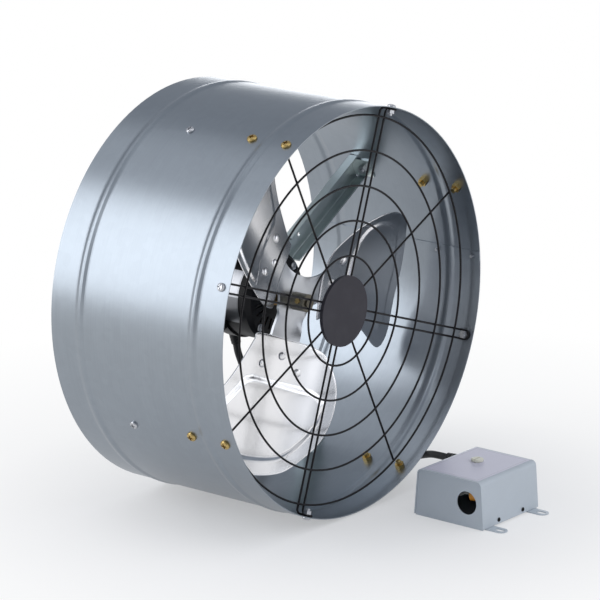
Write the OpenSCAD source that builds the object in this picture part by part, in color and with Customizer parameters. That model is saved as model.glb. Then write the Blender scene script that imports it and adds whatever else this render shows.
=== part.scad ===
// Gable attic fan: a rolled steel drum with a wire guard, a three-blade propeller on a four-arm
// motor mount, and a thermostat box on a short lead. Millimetres, +Z up, drum axis along Y,
// guard side facing -Y. The origin is the middle of the footprint, on the floor.

/* [Housing] */
// Outside diameter of the drum between its beads
housing_d = 387; // [360:1:430]
// Length of the drum from the guard-side rim to the rear rim
housing_len = 204; // [196:1:240]
// Thickness of the rolled sheet
sheet_t = 0.8; // [0.6:0.1:1.2]
// Height of the two rolled beads above the drum
bead_h = 1.2; // [0.6:0.1:2]
// Width of a rolled bead
bead_w = 13; // [10:0.5:16]
// Distance of the front bead from the guard-side rim
front_bead_at = 35.5; // [33:0.5:38]
// Distance of the rear bead from the rear rim
rear_bead_from = 34.5; // [32:0.5:38]
// Angle of the lapped seam from +X towards +Z
seam_turn = 6; // [5:0.5:8]
// Width of the lap at the seam
seam_lap = 10; // [8:0.5:12]
// Diameter of the two seam screws
seam_screw_d = 3; // [2.5:0.1:3.5]

/* [Wire guard] */
// Diameter of the guard wire
wire_d = 2; // [1.8:0.1:2.8]
// Depth of the ring plane behind the guard-side rim
guard_at = 16; // [15:0.5:18]
// Number of guard rings
ring_count = 5; // [3:1:6]
// Centreline radius of the smallest ring
ring_first_r = 51.5; // [46:0.5:56]
// Gap from the largest ring's centreline to the drum's inside
ring_wall_gap = 9.7; // [9.4:0.1:12]
// Diameter of the centre disc
disc_d = 67; // [56:1:72]
// Depth of the centre disc's turned edge
disc_edge = 3.5; // [2:0.5:5]
// Distance between the two wires of a hairpin spoke, centre to centre
hairpin_gap = 8.5; // [7.8:0.1:9]
// Centreline radius of the bend at a hairpin's outer end
hairpin_bend = 4; // [3:0.5:4.5]
// Angle of the first hairpin spoke from +X towards +Z
guard_turn = -18.9; // [-22:0.1:-16]
// Diameter of a guard screw
guard_screw_d = 4; // [3.5:0.1:4.5]
// Depth of the guard screws behind the guard-side rim
guard_screw_at = 9; // [8:0.5:10]

/* [Bracket bolts] */
// Diameter of a bracket bolt
bracket_bolt_d = 5; // [4:0.5:6]
// Depth of the first row of bracket bolts behind the guard-side rim
bracket_row_a = 13.6; // [12.6:0.1:14.6]
// Depth of the second row of bracket bolts behind the guard-side rim
bracket_row_b = 53; // [50:0.5:56]
// Angle of the first pair of bracket bolts from +X towards +Z
bracket_turn = 26.5; // [25:0.1:28]

/* [Motor arms] */
// Angle of the first motor arm from +X towards +Z
arm_turn = 27.5; // [26.5:0.1:28.5]
// Width of an arm's channel
arm_w = 28; // [24:1:32]
// Height of the arm's flanges above its back face
arm_flange = 11; // [8:0.5:12]
// Thickness of the arm's sheet
arm_t = 1.5; // [1.2:0.1:2]
// Distance of the arm's inner end from the drum's axis
arm_inner_r = 64; // [60:1:68]
// Depth of the arm's web at its inner end
arm_inner_at = 128; // [126:0.5:130]
// Depth of the arm's web at the drum's wall
arm_outer_at = 137; // [135:0.5:139]
// Depth of the screws that hold the arms to the wall
arm_screw_at = 123.6; // [122:0.2:125]
// Diameter of an arm screw
arm_screw_d = 5; // [4:0.5:6]
// Width of the tab at the arm's outer end
arm_tab_w = 20; // [16:1:22]

/* [Motor] */
// Outside diameter of the motor's shell
motor_d = 84; // [80:1:90]
// Depth of the motor's front face
motor_front_at = 95; // [94:0.5:97]
// Length of the front end bell
bell_front_len = 11; // [10:0.5:12]
// Length of the motor's shell
shell_len = 64; // [60:1:70]
// Length of the rear end bell
bell_rear_len = 13; // [12:0.5:16]
// Wall of the shell and the end bells
motor_wall = 1.6; // [1.2:0.1:2]
// Diameter of the shaft
shaft_d = 7.94; // [6.35:0.01:9.5]
// Depth of the shaft's front end
shaft_end_at = 56; // [54:0.5:58]
// Running clearance of the shaft in its bearings, on the radius
shaft_clear = 0.04; // [0.02:0.01:0.08]
// Number of vent slots in each end bell
vent_count = 24; // [16:1:28]
// Width of the mounting band round the shell
band_w = 14; // [12:1:18]
// Thickness of the mounting band
band_t = 2; // [1.5:0.1:3]

/* [Propeller] */
// Tip radius of the propeller
blade_r = 178; // [150:1:180]
// Angle of the first blade from +X towards +Z
blade_turn = 6.4; // [0:0.1:12]
// Thickness of a blade
blade_t = 1.3; // [1:0.1:1.8]
// Pitch of the blade at its root, in degrees
blade_pitch = 15; // [12:0.5:18]
// Extra rise of the leading edge, over its half chord
blade_camber = 16.4; // [12:0.2:17]
// Height of the pressed panel on a blade
panel_h = 2.2; // [1.4:0.1:3]
// Depth of the blade's front face at its middle
blade_at = 71.4; // [70:0.1:73]
// Diameter of the hub collar
collar_d = 17; // [16:0.5:20]
// Thickness of the spider plate
spider_t = 2.5; // [2:0.1:3]
// Diameter of the blade rivets
rivet_d = 4; // [3:0.5:5]

/* [Control box] */
// Length of the box along X
box_len = 88; // [80:1:110]
// Width of the box along Y at its base
box_w = 80; // [70:1:90]
// Height of the box
box_h = 46; // [42:1:60]
// Lean of the cover's long walls, in degrees
box_lean = 4.5; // [2:0.5:6]
// Radius of the cover's bends
box_bend_r = 5; // [3:0.5:7]
// Thickness of the box's sheet
box_t = 1; // [0.8:0.1:1.5]
// Place of the box's middle along X from the drum's axis
box_x = 78; // [70:1:90]
// Gap along Y between the drum's guard-side rim and the box
box_gap = 42.5; // [38:0.5:60]
// Diameter of the wiring knockout
knockout_d = 22.2; // [20:0.1:23]
// Height of the knockout's centre above the floor
knockout_z = 23.2; // [18:0.1:26]
// Distance of the knockout's centre from the box's front edge
knockout_in = 20; // [18:0.5:26]
// Distance of the mounting tabs from the box's middle
tab_off = 33; // [30:0.5:35]
// Width of a mounting tab
tab_w = 12.4; // [10:0.2:14]
// Reach of a mounting tab past the box's front edge
tab_reach = 18.5; // [16:0.5:22]
// Width of the slot in a mounting tab
tab_slot_w = 5; // [4:0.1:6]
// End-to-end length of the slot in a mounting tab
tab_slot_len = 10; // [8:0.5:11]
// Diameter of the thermostat dial
dial_d = 12; // [11:0.2:18]
// Height of the thermostat dial
dial_h = 2.4; // [2:0.2:6]

/* [Lead] */
// Diameter of the lead between the motor and the box
lead_d = 7; // [6:0.1:8]
// Length of a strain relief outside its wall
relief_len = 20; // [18:1:24]

/* [Hidden] */
$fn = 64;

// Shared fits
touch = 0.05;
overrun = 1;
hole_clear = 0.25;

// Places of the drum
housing_r = housing_d / 2;
wall_r = housing_r - sheet_t;
axis_z = housing_r + bead_h;
box_front = -box_gap - box_w;
footprint_y = (housing_len + box_front - tab_reach) / 2;
bead_steps = 8;

// Angles of what repeats four times round the drum
quarters = [0, 90, 180, 270];

// Guard
ring_last_r = wall_r - ring_wall_gap;
ring_step = (ring_last_r - ring_first_r) / (ring_count - 1);
spoke_at = guard_at + wire_d + touch;
hook_r = seat_r(wall_r, (hairpin_gap + wire_d) / 2) - wire_d / 2;
spoke_from_r = disc_d * 0.3;
disc_back_at = spoke_at - wire_d / 2 - touch;
disc_t = 1.2;

// Fasteners
guard_head_d = 8;
guard_head_h = 2.6;
guard_nut_d = 8.1;
guard_nut_h = 3.2;
thread_past = 2;
bracket_head_d = 9.5;
bracket_head_h = 3;
bracket_nut_d = 9.2;
bracket_nut_h = 4;
bracket_thread_past = 3.6;
arm_nut_d = 9.2;
arm_nut_h = 4;
seam_head_d = 6;
seam_head_h = 1.8;
seam_thread_past = 4;
seam_screw_in = 7.5;
seam_screw_apart = 41.5;
seam_screw_depths = [seam_screw_in, seam_screw_in + seam_screw_apart];

// Motor arms
arm_tab_len = 24;
arm_seat_r = seat_r(wall_r, arm_tab_w / 2);
arm_slant = atan2(arm_outer_at - arm_inner_at, wall_r - arm_inner_r);
arm_corner_r = seat_r(wall_r, arm_w / 2) - arm_flange * sin(arm_slant) - touch * 4;
arm_len = (arm_corner_r - arm_inner_r) / cos(arm_slant);
arm_hole_d = 4;
arm_hole_in = 22;
arm_bend_r = 2.5;

// Motor
motor_r = motor_d / 2;
shell_at = motor_front_at + bell_front_len;
shell_end_at = shell_at + shell_len;
motor_end_at = shell_end_at + bell_rear_len;
bell_turn_in = 3.8;
bell_flat_r = motor_r - bell_turn_in;
bell_boss_r = 11;
bearing_r = 8;
bearing_len = 12;
shaft_r = shaft_d / 2;
core_len = 38;
core_r = motor_r - motor_wall - touch;
core_at = (shell_at + shell_end_at - core_len) / 2;
core_bore_r = 28.5;
rotor_gap = 0.5;
winding_r = 31;
winding_t = 4;
winding_reach = 8;
through_r = 35;
through_d = 3.5;
through_nut_d = 7.5;
through_nut_h = 3;
vent_w = 2.6;
vent_from_r = 21;
vent_to_r = 31.5;
washer_t = 1;
band_lead = 1;
band_at = arm_inner_at - band_lead;
band_r = motor_r + touch;
ear_t = 2.5;
ear_w = 20;
ear_lap = 20;
clamp_turn = arm_turn + 315;
clamp_gap = 3;
clamp_t = 2.5;
clamp_h = 12;
clamp_screw_d = 4;
nameplate_from = 137;
nameplate_to = 208;
nameplate_t = 0.4;
nameplate_in = 1.5;
nameplate_len = 19;

// Propeller
blade_turns = [blade_turn, blade_turn + 120, blade_turn + 240];
pitch_slope = tan(blade_pitch);
half_chord = blade_r * 0.337;
lobe_from = blade_r * 0.25;
lobe_width = blade_r * 0.29;
lobe_lift = 6.4;
chord_steps = [-0.66, -0.56, -0.48, -0.4, -0.32, -0.25, 0.025, 0.08, 0.145, 0.2, 0.25, 0.3, 0.36];
blade_outline_shares = [[0.213, -0.174], [0.206, 0.02], [0.207, 0.14], [0.222, 0.21],
    [0.243, 0.24], [0.276, 0.265], [0.311, 0.287], [0.353, 0.306], [0.4, 0.32],
    [0.45, 0.328], [0.515, 0.331], [0.579, 0.328], [0.645, 0.317], [0.704, 0.298],
    [0.755, 0.272], [0.806, 0.24], [0.854, 0.205], [0.893, 0.165], [0.921, 0.108],
    [0.942, 0.022], [0.947, -0.1], [0.941, -0.18], [0.931, -0.25], [0.92, -0.33],
    [0.907, -0.406], [0.89, -0.468], [0.862, -0.518], [0.825, -0.549], [0.799, -0.556],
    [0.773, -0.55], [0.742, -0.523], [0.712, -0.484], [0.68, -0.443], [0.641, -0.399],
    [0.6, -0.36], [0.551, -0.322], [0.455, -0.27], [0.348, -0.227], [0.253, -0.194]];
panel_outline_shares = [[0.449, -0.112], [0.447, 0.169], [0.45, 0.208], [0.462, 0.241],
    [0.483, 0.263], [0.52, 0.271], [0.58, 0.266], [0.65, 0.244], [0.726, 0.204],
    [0.789, 0.158], [0.825, 0.11], [0.849, 0.03], [0.864, -0.084], [0.857, -0.15],
    [0.849, -0.22], [0.843, -0.29], [0.835, -0.362], [0.824, -0.41], [0.809, -0.43],
    [0.79, -0.435], [0.765, -0.419], [0.705, -0.363], [0.635, -0.303], [0.551, -0.242],
    [0.494, -0.208], [0.466, -0.185], [0.452, -0.155]];
panel_middle_share = [0.66, -0.08];
panel_inner_share = 0.955;
rivet_inner_s = 53.2;
rivet_outer_s = 64.8;
rivet_outer_c = 19.6;
rivet_head_d = 8;
rivet_head_h = 1.8;
rivet_tail_d = 6.4;
rivet_tail_h = 1;
spider_at = blade_at + blade_t / cos(blade_pitch) + touch;
spider_r = 24.5;
spider_reach = 76;
spider_half_shares = [[0.161, 0.279], [0.191, 0.255], [0.237, 0.232], [0.296, 0.216],
    [0.368, 0.207], [0.447, 0.205], [0.5, 0.213], [0.579, 0.25], [0.658, 0.303],
    [0.737, 0.334], [0.829, 0.329], [0.921, 0.275], [0.98, 0.19], [1, 0.08]];
collar_front_at = 57.5;
set_screw_d = 5;
set_screw_at = 63.5;
set_screw_turn = 160;
set_screw_proud = 1.2;

// Control box
box_y = box_front + box_w / 2;
box_half = box_w / 2;
cover_gap = 0.2;
cover_low = box_t + cover_gap;
end_wall_in = 1;
lip_h = 12;
cover_screw_off = 19;
cover_screw_z = 5;
cover_screw_d = 2.5;
cover_screw_head_d = 4;
cover_screw_head_h = 0.9;
tab_slot_in = 1;
cover_screw_len = 8;
label_t = 0.2;
label_in = 2.5;
dial_off_x = 8;
dial_off_y = 5.5;
dial_x = box_x + dial_off_x;
dial_y = box_y + dial_off_y;
dial_lift = 0.3;
dial_neck_d = 6;
dial_neck_down = 7;
dial_slot_w = 1.6;
dial_slot_deep = 1;
switch_len = 34;
switch_w = 26;
switch_h = 18;
switch_hole_clear = 0.06;
connector_d = 12;
connector_tip_d = 8;
connector_len = 18;
connector_z = 27;
connector_first_x = -28;
connector_apart = 13;
connector_xs = [connector_first_x, connector_first_x + connector_apart];
connector_tip_in = 6;
connector_mouth_y = connector_tip_in + connector_len - box_half;
wire_core_d = 2.2;
elbow_share = 1.12;
wire_apart = 1.6;
wire_slack = 8;
relief_flange_d = 15;
relief_flange_t = 2;
relief_tip_d = 9.2;
relief_root_d = 11.6;
relief_inside = 3;
box_relief_x = 110;
box_relief_z = 33.2;
motor_relief_turn = -75;
motor_relief_at = 158;

// Lead: the route as distances from the drum's axis, its guard-side rim and the floor
lead_sides = 10;
lead_route = [[110.1, -12, 33.1], [110.9, -4, 32.1], [112.8, 6, 29], [116, 20, 23.6],
    [120.5, 36, 16.2],
    [125, 54, 10], [128.3, 72, 6], [130.3, 90, 4.1], [131, 108, 3.7], [131, 130, 3.7],
    [130.8, 152, 3.7], [130.3, 174, 3.7], [130, 194, 3.7], [129, 211, 3.7], [124.6, 225.6, 3.7],
    [114, 236.6, 3.9], [99, 240.5, 5.2], [84, 236.8, 8], [73.4, 225.8, 13], [69.2, 211.6, 17.8],
    [69, 198, 21.2], [68, 185, 24.4], [64.6, 173, 30.4], [58, 163.6, 42], [50.6, 160, 58],
    [42, 158.4, 77], [32.3, 158, 96.4], [23.9, 158, 113.4], [18.66, 158, 125.06]];

function seat_r(r, half) = sqrt(r * r - half * half);
function bump(d, c) = abs(d - c) >= bead_w / 2 ? 0 : bead_h * (1 + cos(360 * (d - c) / bead_w)) / 2;
function bead_rise(d) = bump(d, front_bead_at) + bump(d, housing_len - rear_bead_from);
function bead_depths(c) = [for (i = [0:bead_steps]) c + bead_w * (i / bead_steps - 1 / 2)];
function wall_depths() = concat([0], bead_depths(front_bead_at),
    bead_depths(housing_len - rear_bead_from), [housing_len]);
function blade_rise(c) = c * pitch_slope + (c > 0 ? blade_camber * pow(c / half_chord, 2)
    : c < -lobe_from ? lobe_lift * pow((c + lobe_from) / lobe_width, 2) : 0);
function section_step(c) = max([for (i = [0:len(chord_steps) - 2])
    chord_steps[i] * blade_r <= c ? i : 0]);
function section_slope(i) = (blade_rise(chord_steps[i + 1] * blade_r)
    - blade_rise(chord_steps[i] * blade_r)) / (chord_steps[i + 1] - chord_steps[i]) / blade_r;
function section_rise(c) = blade_rise(chord_steps[section_step(c)] * blade_r)
    + (c - chord_steps[section_step(c)] * blade_r) * section_slope(section_step(c));
function scaled(shares, size) = [for (p = shares) p * size];
function drawn_in(shares, middle, by) = [for (p = shares) middle + by * (p - middle)];

// Places its children in the drum's own frame: local +Z points out of the guard side
module in_drum() {
    translate([0, -footprint_y, axis_z]) rotate([90, 0, 0]) children();
}

// Places its children where a radius at this angle and depth meets the drum's axis, +Z outwards
module on_radius(turn, depth) {
    rotate([0, 0, turn]) translate([0, 0, -depth]) rotate([0, 90, 0]) children();
}

// Places its children in the control box's frame: middle of its base, on the floor
module in_box() {
    translate([box_x, box_y - footprint_y, 0]) children();
}

// Ring between two depths along the drum's axis
module sleeve(r_out, r_in, from_at, to_at) {
    translate([0, 0, -to_at]) difference() {
        cylinder(r = r_out, h = to_at - from_at);
        translate([0, 0, -overrun]) cylinder(r = r_in, h = to_at - from_at + 2 * overrun);
    }
}

// Solid round bar between two depths along the drum's axis
module bar(r, from_at, to_at) {
    translate([0, 0, -to_at]) cylinder(r = r, h = to_at - from_at);
}

// Pan head with a cross recess, its seat at z = 0
module pan_head(head_d, head_h) {
    cross_w = head_d * 0.15;
    cross_l = head_d * 0.6;
    difference() {
        rotate_extrude() polygon([[0, 0], [head_d / 2, 0], [head_d / 2, head_h * 0.4],
            [head_d * 0.44, head_h * 0.72], [head_d * 0.3, head_h * 0.94], [0, head_h]]);
        for (turn = [0, 90]) rotate([0, 0, turn])
            translate([-cross_l / 2, -cross_w / 2, head_h * 0.45]) cube([cross_l, cross_w, head_h]);
    }
}

// Screw with its head on z = 0 and its shank pointing down
module pan_screw(d, head_d, head_h, len) {
    pan_head(head_d, head_h);
    translate([0, 0, -len]) cylinder(d = d, h = len);
}

// Hexagon nut standing on z = 0, corner to corner size
module hex_nut(corner_d, h, bore_d) {
    difference() {
        cylinder(d = corner_d, h = h, $fn = 6);
        translate([0, 0, -overrun]) cylinder(d = bore_d, h = h + 2 * overrun);
    }
}

module wall_profile(out, inner) {
    depths = wall_depths();
    n = len(depths);
    polygon(concat([for (d = depths) [out + bead_rise(d), -d]],
        [for (i = [1:n]) [inner + bead_rise(depths[n - i]), -depths[n - i]]]));
}

module housing() {
    lap_turn = seam_lap / wall_r * 180 / PI;
    color([0.62, 0.66, 0.72]) in_drum() difference() {
        union() {
            rotate_extrude() wall_profile(housing_r, wall_r);
            rotate([0, 0, seam_turn - lap_turn]) rotate_extrude(angle = lap_turn)
                wall_profile(wall_r + sheet_t / 2, wall_r - sheet_t);
        }
        for (q = quarters) {
            on_radius(guard_turn + q, guard_screw_at) wall_hole(guard_screw_d);
            on_radius(bracket_turn + q, bracket_row_a) wall_hole(bracket_bolt_d);
            on_radius(bracket_turn + q, bracket_row_b) wall_hole(bracket_bolt_d);
            on_radius(arm_turn + q, arm_screw_at) wall_hole(arm_screw_d);
        }
        for (at = seam_screw_depths) on_radius(seam_screw_turn(), at) wall_hole(seam_screw_d);
    }
}

function seam_screw_turn() = seam_turn - seam_lap / wall_r * 90 / PI;

module wall_hole(d) {
    translate([0, 0, wall_r - 2 * sheet_t - overrun])
        cylinder(d = d + 2 * hole_clear, h = 3 * sheet_t + bead_h + 2 * overrun);
}

module seam_screws() {
    color([0.75, 0.76, 0.78]) in_drum() for (at = seam_screw_depths)
        on_radius(seam_screw_turn(), at) translate([0, 0, housing_r])
            pan_screw(seam_screw_d, seam_head_d, seam_head_h, seam_thread_past + 2 * sheet_t);
}

module guard_rings() {
    color([0.09, 0.09, 0.1]) in_drum() translate([0, 0, -guard_at])
        for (i = [0:ring_count - 1])
            rotate_extrude() translate([ring_first_r + i * ring_step, 0]) circle(d = wire_d);
}

// Part of a wire ring of this centreline radius, from angle 0 in the XY plane
module wire_arc(r, turn) {
    rotate_extrude(angle = turn) translate([r, 0]) circle(d = wire_d);
}

module hairpin() {
    leg_to = hook_r - hairpin_bend;
    hook_from = spoke_at - hairpin_bend;
    for (side = [-1, 1]) translate([0, side * hairpin_gap / 2, 0]) {
        translate([spoke_from_r, 0, -spoke_at]) rotate([0, 90, 0])
            cylinder(d = wire_d, h = leg_to - spoke_from_r);
        translate([leg_to, 0, -hook_from]) rotate([90, 0, 0]) rotate([0, 0, -90])
            wire_arc(hairpin_bend, 90);
        translate([hook_r, 0, -hook_from]) cylinder(d = wire_d, h = hook_from - guard_screw_at);
    }
    translate([hook_r, 0, -guard_screw_at]) rotate([90, 0, 90]) wire_arc(hairpin_gap / 2, 180);
}

module guard_hairpins() {
    color([0.09, 0.09, 0.1]) in_drum()
        for (q = quarters) rotate([0, 0, guard_turn + q]) hairpin();
}

module guard_spokes() {
    color([0.09, 0.09, 0.1]) in_drum() for (q = quarters) rotate([0, 0, guard_turn + 45 + q])
        translate([spoke_from_r, 0, -spoke_at]) rotate([0, 90, 0])
            cylinder(d = wire_d, h = ring_last_r + wire_d / 2 - spoke_from_r);
}

module guard_disc() {
    color([0.2, 0.19, 0.22]) in_drum() difference() {
        bar(disc_d / 2, disc_back_at - disc_edge, disc_back_at);
        bar(disc_d / 2 - disc_t, disc_back_at - disc_edge + disc_t, disc_back_at + overrun);
    }
}

module guard_screws() {
    end_r = hook_r - wire_d / 2 - guard_nut_h - thread_past;
    color([0.75, 0.76, 0.78]) in_drum() for (q = quarters)
        on_radius(guard_turn + q, guard_screw_at) translate([0, 0, housing_r])
            pan_screw(guard_screw_d, guard_head_d, guard_head_h, housing_r - end_r);
}

module guard_nuts() {
    color([0.75, 0.76, 0.78]) in_drum() for (q = quarters)
        on_radius(guard_turn + q, guard_screw_at)
            translate([0, 0, hook_r - wire_d / 2 - guard_nut_h - touch])
                hex_nut(guard_nut_d, guard_nut_h, guard_screw_d + 2 * touch);
}

module bracket_bolts() {
    end_r = wall_r - bracket_nut_h - bracket_thread_past;
    color([0.72, 0.6, 0.3]) in_drum() for (q = quarters, at = [bracket_row_a, bracket_row_b])
        on_radius(bracket_turn + q, at) translate([0, 0, housing_r])
            pan_screw(bracket_bolt_d, bracket_head_d, bracket_head_h, housing_r - end_r);
}

module bracket_nuts() {
    seat = seat_r(wall_r, bracket_nut_d / 2);
    color([0.72, 0.6, 0.3]) in_drum() for (q = quarters, at = [bracket_row_a, bracket_row_b])
        on_radius(bracket_turn + q, at) translate([0, 0, seat - bracket_nut_h])
            hex_nut(bracket_nut_d, bracket_nut_h, bracket_bolt_d + 2 * touch);
}

// Section of the arm: a channel open towards the guard, its web's front face on z = 0
module channel_section() {
    half = arm_w / 2;
    in_r = arm_bend_r - arm_t;
    difference() {
        translate([-half, -arm_t]) rounded_low(arm_w, arm_flange, arm_bend_r);
        translate([arm_t - half, 0]) rounded_low(arm_w - 2 * arm_t, arm_flange, in_r);
    }
}

// Rectangle from the origin with its two low corners rounded
module rounded_low(w, h, r) {
    translate([0, r]) square([w, h - r]);
    translate([r, 0]) square([w - 2 * r, r]);
    translate([r, r]) circle(r = r);
    translate([w - r, r]) circle(r = r);
}

// Places its children in the slanting frame of an arm: its inner end, +X along the arm
module along_arm() {
    translate([arm_inner_r, 0, -arm_inner_at]) rotate([0, arm_slant, 0]) children();
}

module motor_arm(turn) {
    tab_back_at = arm_outer_at + arm_t;
    color([0.6, 0.65, 0.66]) in_drum() rotate([0, 0, turn]) difference() {
        union() {
            along_arm() rotate([90, 0, 90]) linear_extrude(arm_len) channel_section();
            translate([arm_seat_r - arm_t, -arm_tab_w / 2, -tab_back_at])
                cube([arm_t, arm_tab_w, arm_tab_len]);
        }
        along_arm() translate([arm_hole_in, 0, -arm_t - overrun])
            cylinder(d = arm_hole_d, h = arm_t + 2 * overrun);
        translate([arm_seat_r - arm_t - overrun, 0, -arm_screw_at]) rotate([0, 90, 0])
            cylinder(d = arm_screw_d + 2 * hole_clear, h = arm_t + 2 * overrun);
    }
}

module arm_screws() {
    end_r = arm_seat_r - arm_t - arm_nut_h - thread_past;
    color([0.75, 0.76, 0.78]) in_drum() for (q = quarters)
        on_radius(arm_turn + q, arm_screw_at) translate([0, 0, housing_r])
            pan_screw(arm_screw_d, guard_head_d, guard_head_h, housing_r - end_r);
}

module arm_nuts() {
    color([0.75, 0.76, 0.78]) in_drum() for (q = quarters)
        on_radius(arm_turn + q, arm_screw_at)
            translate([0, 0, arm_seat_r - arm_t - arm_nut_h - touch])
                hex_nut(arm_nut_d, arm_nut_h, arm_screw_d + 2 * touch);
}

// Section of the band: a split ring with a lug on each side of its gap
module band_section() {
    clamp_x = band_r + band_t / 2;
    difference() {
        union() {
            circle(r = band_r + band_t);
            rotate(clamp_turn) translate([clamp_x, -clamp_gap / 2 - clamp_t])
                square([clamp_h, clamp_gap + 2 * clamp_t]);
        }
        circle(r = band_r);
        rotate(clamp_turn) translate([0, -clamp_gap / 2])
            square([clamp_x + clamp_h + overrun, clamp_gap]);
    }
}

module mount_band() {
    ear_back = -arm_t - touch - ear_t;
    ear_root = arm_inner_r - band_r + ear_t;
    color([0.07, 0.07, 0.08]) in_drum() difference() {
        union() {
            translate([0, 0, -band_at - band_w]) linear_extrude(band_w) band_section();
            difference() {
                for (q = quarters) rotate([0, 0, arm_turn + q]) along_arm()
                    translate([-ear_root, -ear_w / 2, ear_back])
                        cube([ear_root + ear_lap, ear_w, ear_t]);
                translate([0, 0, -band_at - band_w]) cylinder(r = band_r + band_t / 2, h = band_w);
            }
        }
        clamp_axis() cylinder(d = clamp_screw_d + 2 * hole_clear, h = 2 * clamp_h, center = true);
    }
}

// Axis of the band's clamping screw
module clamp_axis() {
    rotate([0, 0, clamp_turn])
        translate([band_r + band_t + clamp_h / 2, 0, -band_at - band_w / 2])
            rotate([90, 0, 0]) children();
}

module band_screw() {
    side = clamp_gap / 2 + clamp_t + touch;
    color([0.75, 0.76, 0.78]) in_drum() clamp_axis() translate([0, 0, side])
        pan_screw(clamp_screw_d, guard_head_d, guard_head_h, 2 * side + guard_nut_h + thread_past);
}

module band_nut() {
    side = clamp_gap / 2 + clamp_t + touch;
    color([0.75, 0.76, 0.78]) in_drum() clamp_axis() translate([0, 0, -side - guard_nut_h])
        hex_nut(guard_nut_d, guard_nut_h, clamp_screw_d + 2 * touch);
}

module motor_shell() {
    color([0.08, 0.08, 0.09]) in_drum() difference() {
        sleeve(motor_r, motor_r - motor_wall, shell_at, shell_end_at);
        on_radius(motor_relief_turn, motor_relief_at) translate([0, 0, motor_r - 2 * motor_wall])
            cylinder(d = relief_root_d - 2 * motor_wall, h = 3 * motor_wall);
    }
}

// End bell as a cup whose closed face is on z = 0 and whose mouth is at z = -depth
module end_bell(depth) {
    slot_len = vent_to_r - vent_from_r;
    difference() {
        union() {
            rotate_extrude() polygon([[bearing_r, -motor_wall], [bearing_r, 0], [bell_flat_r, 0],
                [motor_r, bell_flat_r - motor_r], [motor_r, -depth],
                [motor_r - motor_wall, -depth], [motor_r - motor_wall, bell_flat_r - motor_r],
                [bell_flat_r - motor_wall / 2, -motor_wall]]);
            translate([0, 0, -bearing_len]) difference() {
                cylinder(r = bell_boss_r, h = bearing_len);
                translate([0, 0, -overrun]) cylinder(r = bearing_r, h = bearing_len + 2 * overrun);
            }
        }
        for (i = [0:vent_count - 1]) rotate([0, 0, 360 * (i + 0.5) / vent_count])
            translate([vent_from_r, -vent_w / 2, -motor_wall - overrun])
                cube([slot_len, vent_w, motor_wall + 2 * overrun]);
        for (q = quarters) rotate([0, 0, 45 + q]) translate([through_r, 0, -depth])
            cylinder(d = through_d + 2 * hole_clear, h = depth + overrun);
    }
}

module front_end_bell() {
    color([0.06, 0.06, 0.07]) in_drum() translate([0, 0, -motor_front_at])
        end_bell(bell_front_len);
}

module rear_end_bell() {
    color([0.06, 0.06, 0.07]) in_drum() translate([0, 0, -motor_end_at])
        mirror([0, 0, 1]) end_bell(bell_rear_len);
}

module through_bolts() {
    reach = motor_end_at - motor_front_at + through_nut_h + thread_past;
    color([0.6, 0.61, 0.63]) in_drum() for (q = quarters) rotate([0, 0, 45 + q])
        translate([through_r, 0, -motor_front_at])
            pan_screw(through_d, through_nut_d, through_nut_h / 2, reach);
}

module through_bolt_nuts() {
    color([0.6, 0.61, 0.63]) in_drum() for (q = quarters) rotate([0, 0, 45 + q])
        translate([through_r, 0, -motor_end_at - through_nut_h])
            hex_nut(through_nut_d, through_nut_h, through_d + 2 * touch);
}

module stator_core() {
    color([0.35, 0.36, 0.38]) in_drum() difference() {
        sleeve(core_r, core_bore_r, core_at, core_at + core_len);
        for (q = quarters) rotate([0, 0, 45 + q])
            translate([through_r, 0, -core_at - core_len - overrun])
                cylinder(d = through_d + 2 * hole_clear, h = core_len + 2 * overrun);
    }
}

module stator_windings() {
    inner = winding_r - winding_t / 2;
    outer = winding_r + winding_t / 2 - hole_clear;
    color([0.7, 0.4, 0.2]) in_drum() {
        sleeve(outer, inner, core_at - winding_reach, core_at);
        sleeve(outer, inner, core_at + core_len, core_at + core_len + winding_reach);
    }
}

module rotor() {
    color([0.45, 0.46, 0.48]) in_drum()
        sleeve(core_bore_r - rotor_gap, shaft_r + touch / 2, core_at, core_at + core_len);
}

module motor_shaft() {
    color([0.5, 0.5, 0.52]) in_drum() bar(shaft_r, shaft_end_at, motor_end_at - motor_wall);
}

module bearing(at) {
    color([0.7, 0.55, 0.3]) in_drum()
        sleeve(bearing_r - touch / 2, shaft_r + shaft_clear, at, at + bearing_len);
}

module thrust_washers() {
    front = motor_front_at + bearing_len + touch;
    rear = motor_end_at - bearing_len - touch;
    color([0.55, 0.35, 0.25]) in_drum() {
        sleeve(bearing_r, shaft_r + touch / 2, front, front + washer_t);
        sleeve(bearing_r, shaft_r + touch / 2, rear - washer_t, rear);
    }
}

module nameplate() {
    color([0.8, 0.8, 0.82]) in_drum() rotate([0, 0, nameplate_from])
        translate([0, 0, -shell_at - nameplate_in - nameplate_len])
            rotate_extrude(angle = nameplate_to - nameplate_from)
                translate([motor_r + touch, 0]) square([nameplate_t, nameplate_len]);
}

module hub_collar() {
    color([0.42, 0.4, 0.34]) in_drum() difference() {
        bar(collar_d / 2, collar_front_at, spider_at - touch);
        bar(shaft_r + touch / 2, collar_front_at - overrun, spider_at + overrun);
        on_radius(set_screw_turn, set_screw_at) cylinder(d = set_screw_d + 2 * touch, h = collar_d);
    }
}

module hub_set_screw() {
    from_r = shaft_r + touch;
    to_r = collar_d / 2 + set_screw_proud;
    color([0.72, 0.6, 0.3]) in_drum() on_radius(set_screw_turn, set_screw_at) difference() {
        translate([0, 0, from_r]) cylinder(d = set_screw_d, h = to_r - from_r);
        translate([-set_screw_d, -set_screw_d / 10, to_r - set_screw_proud])
            cube([2 * set_screw_d, set_screw_d / 5, 2 * set_screw_proud]);
    }
}

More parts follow.
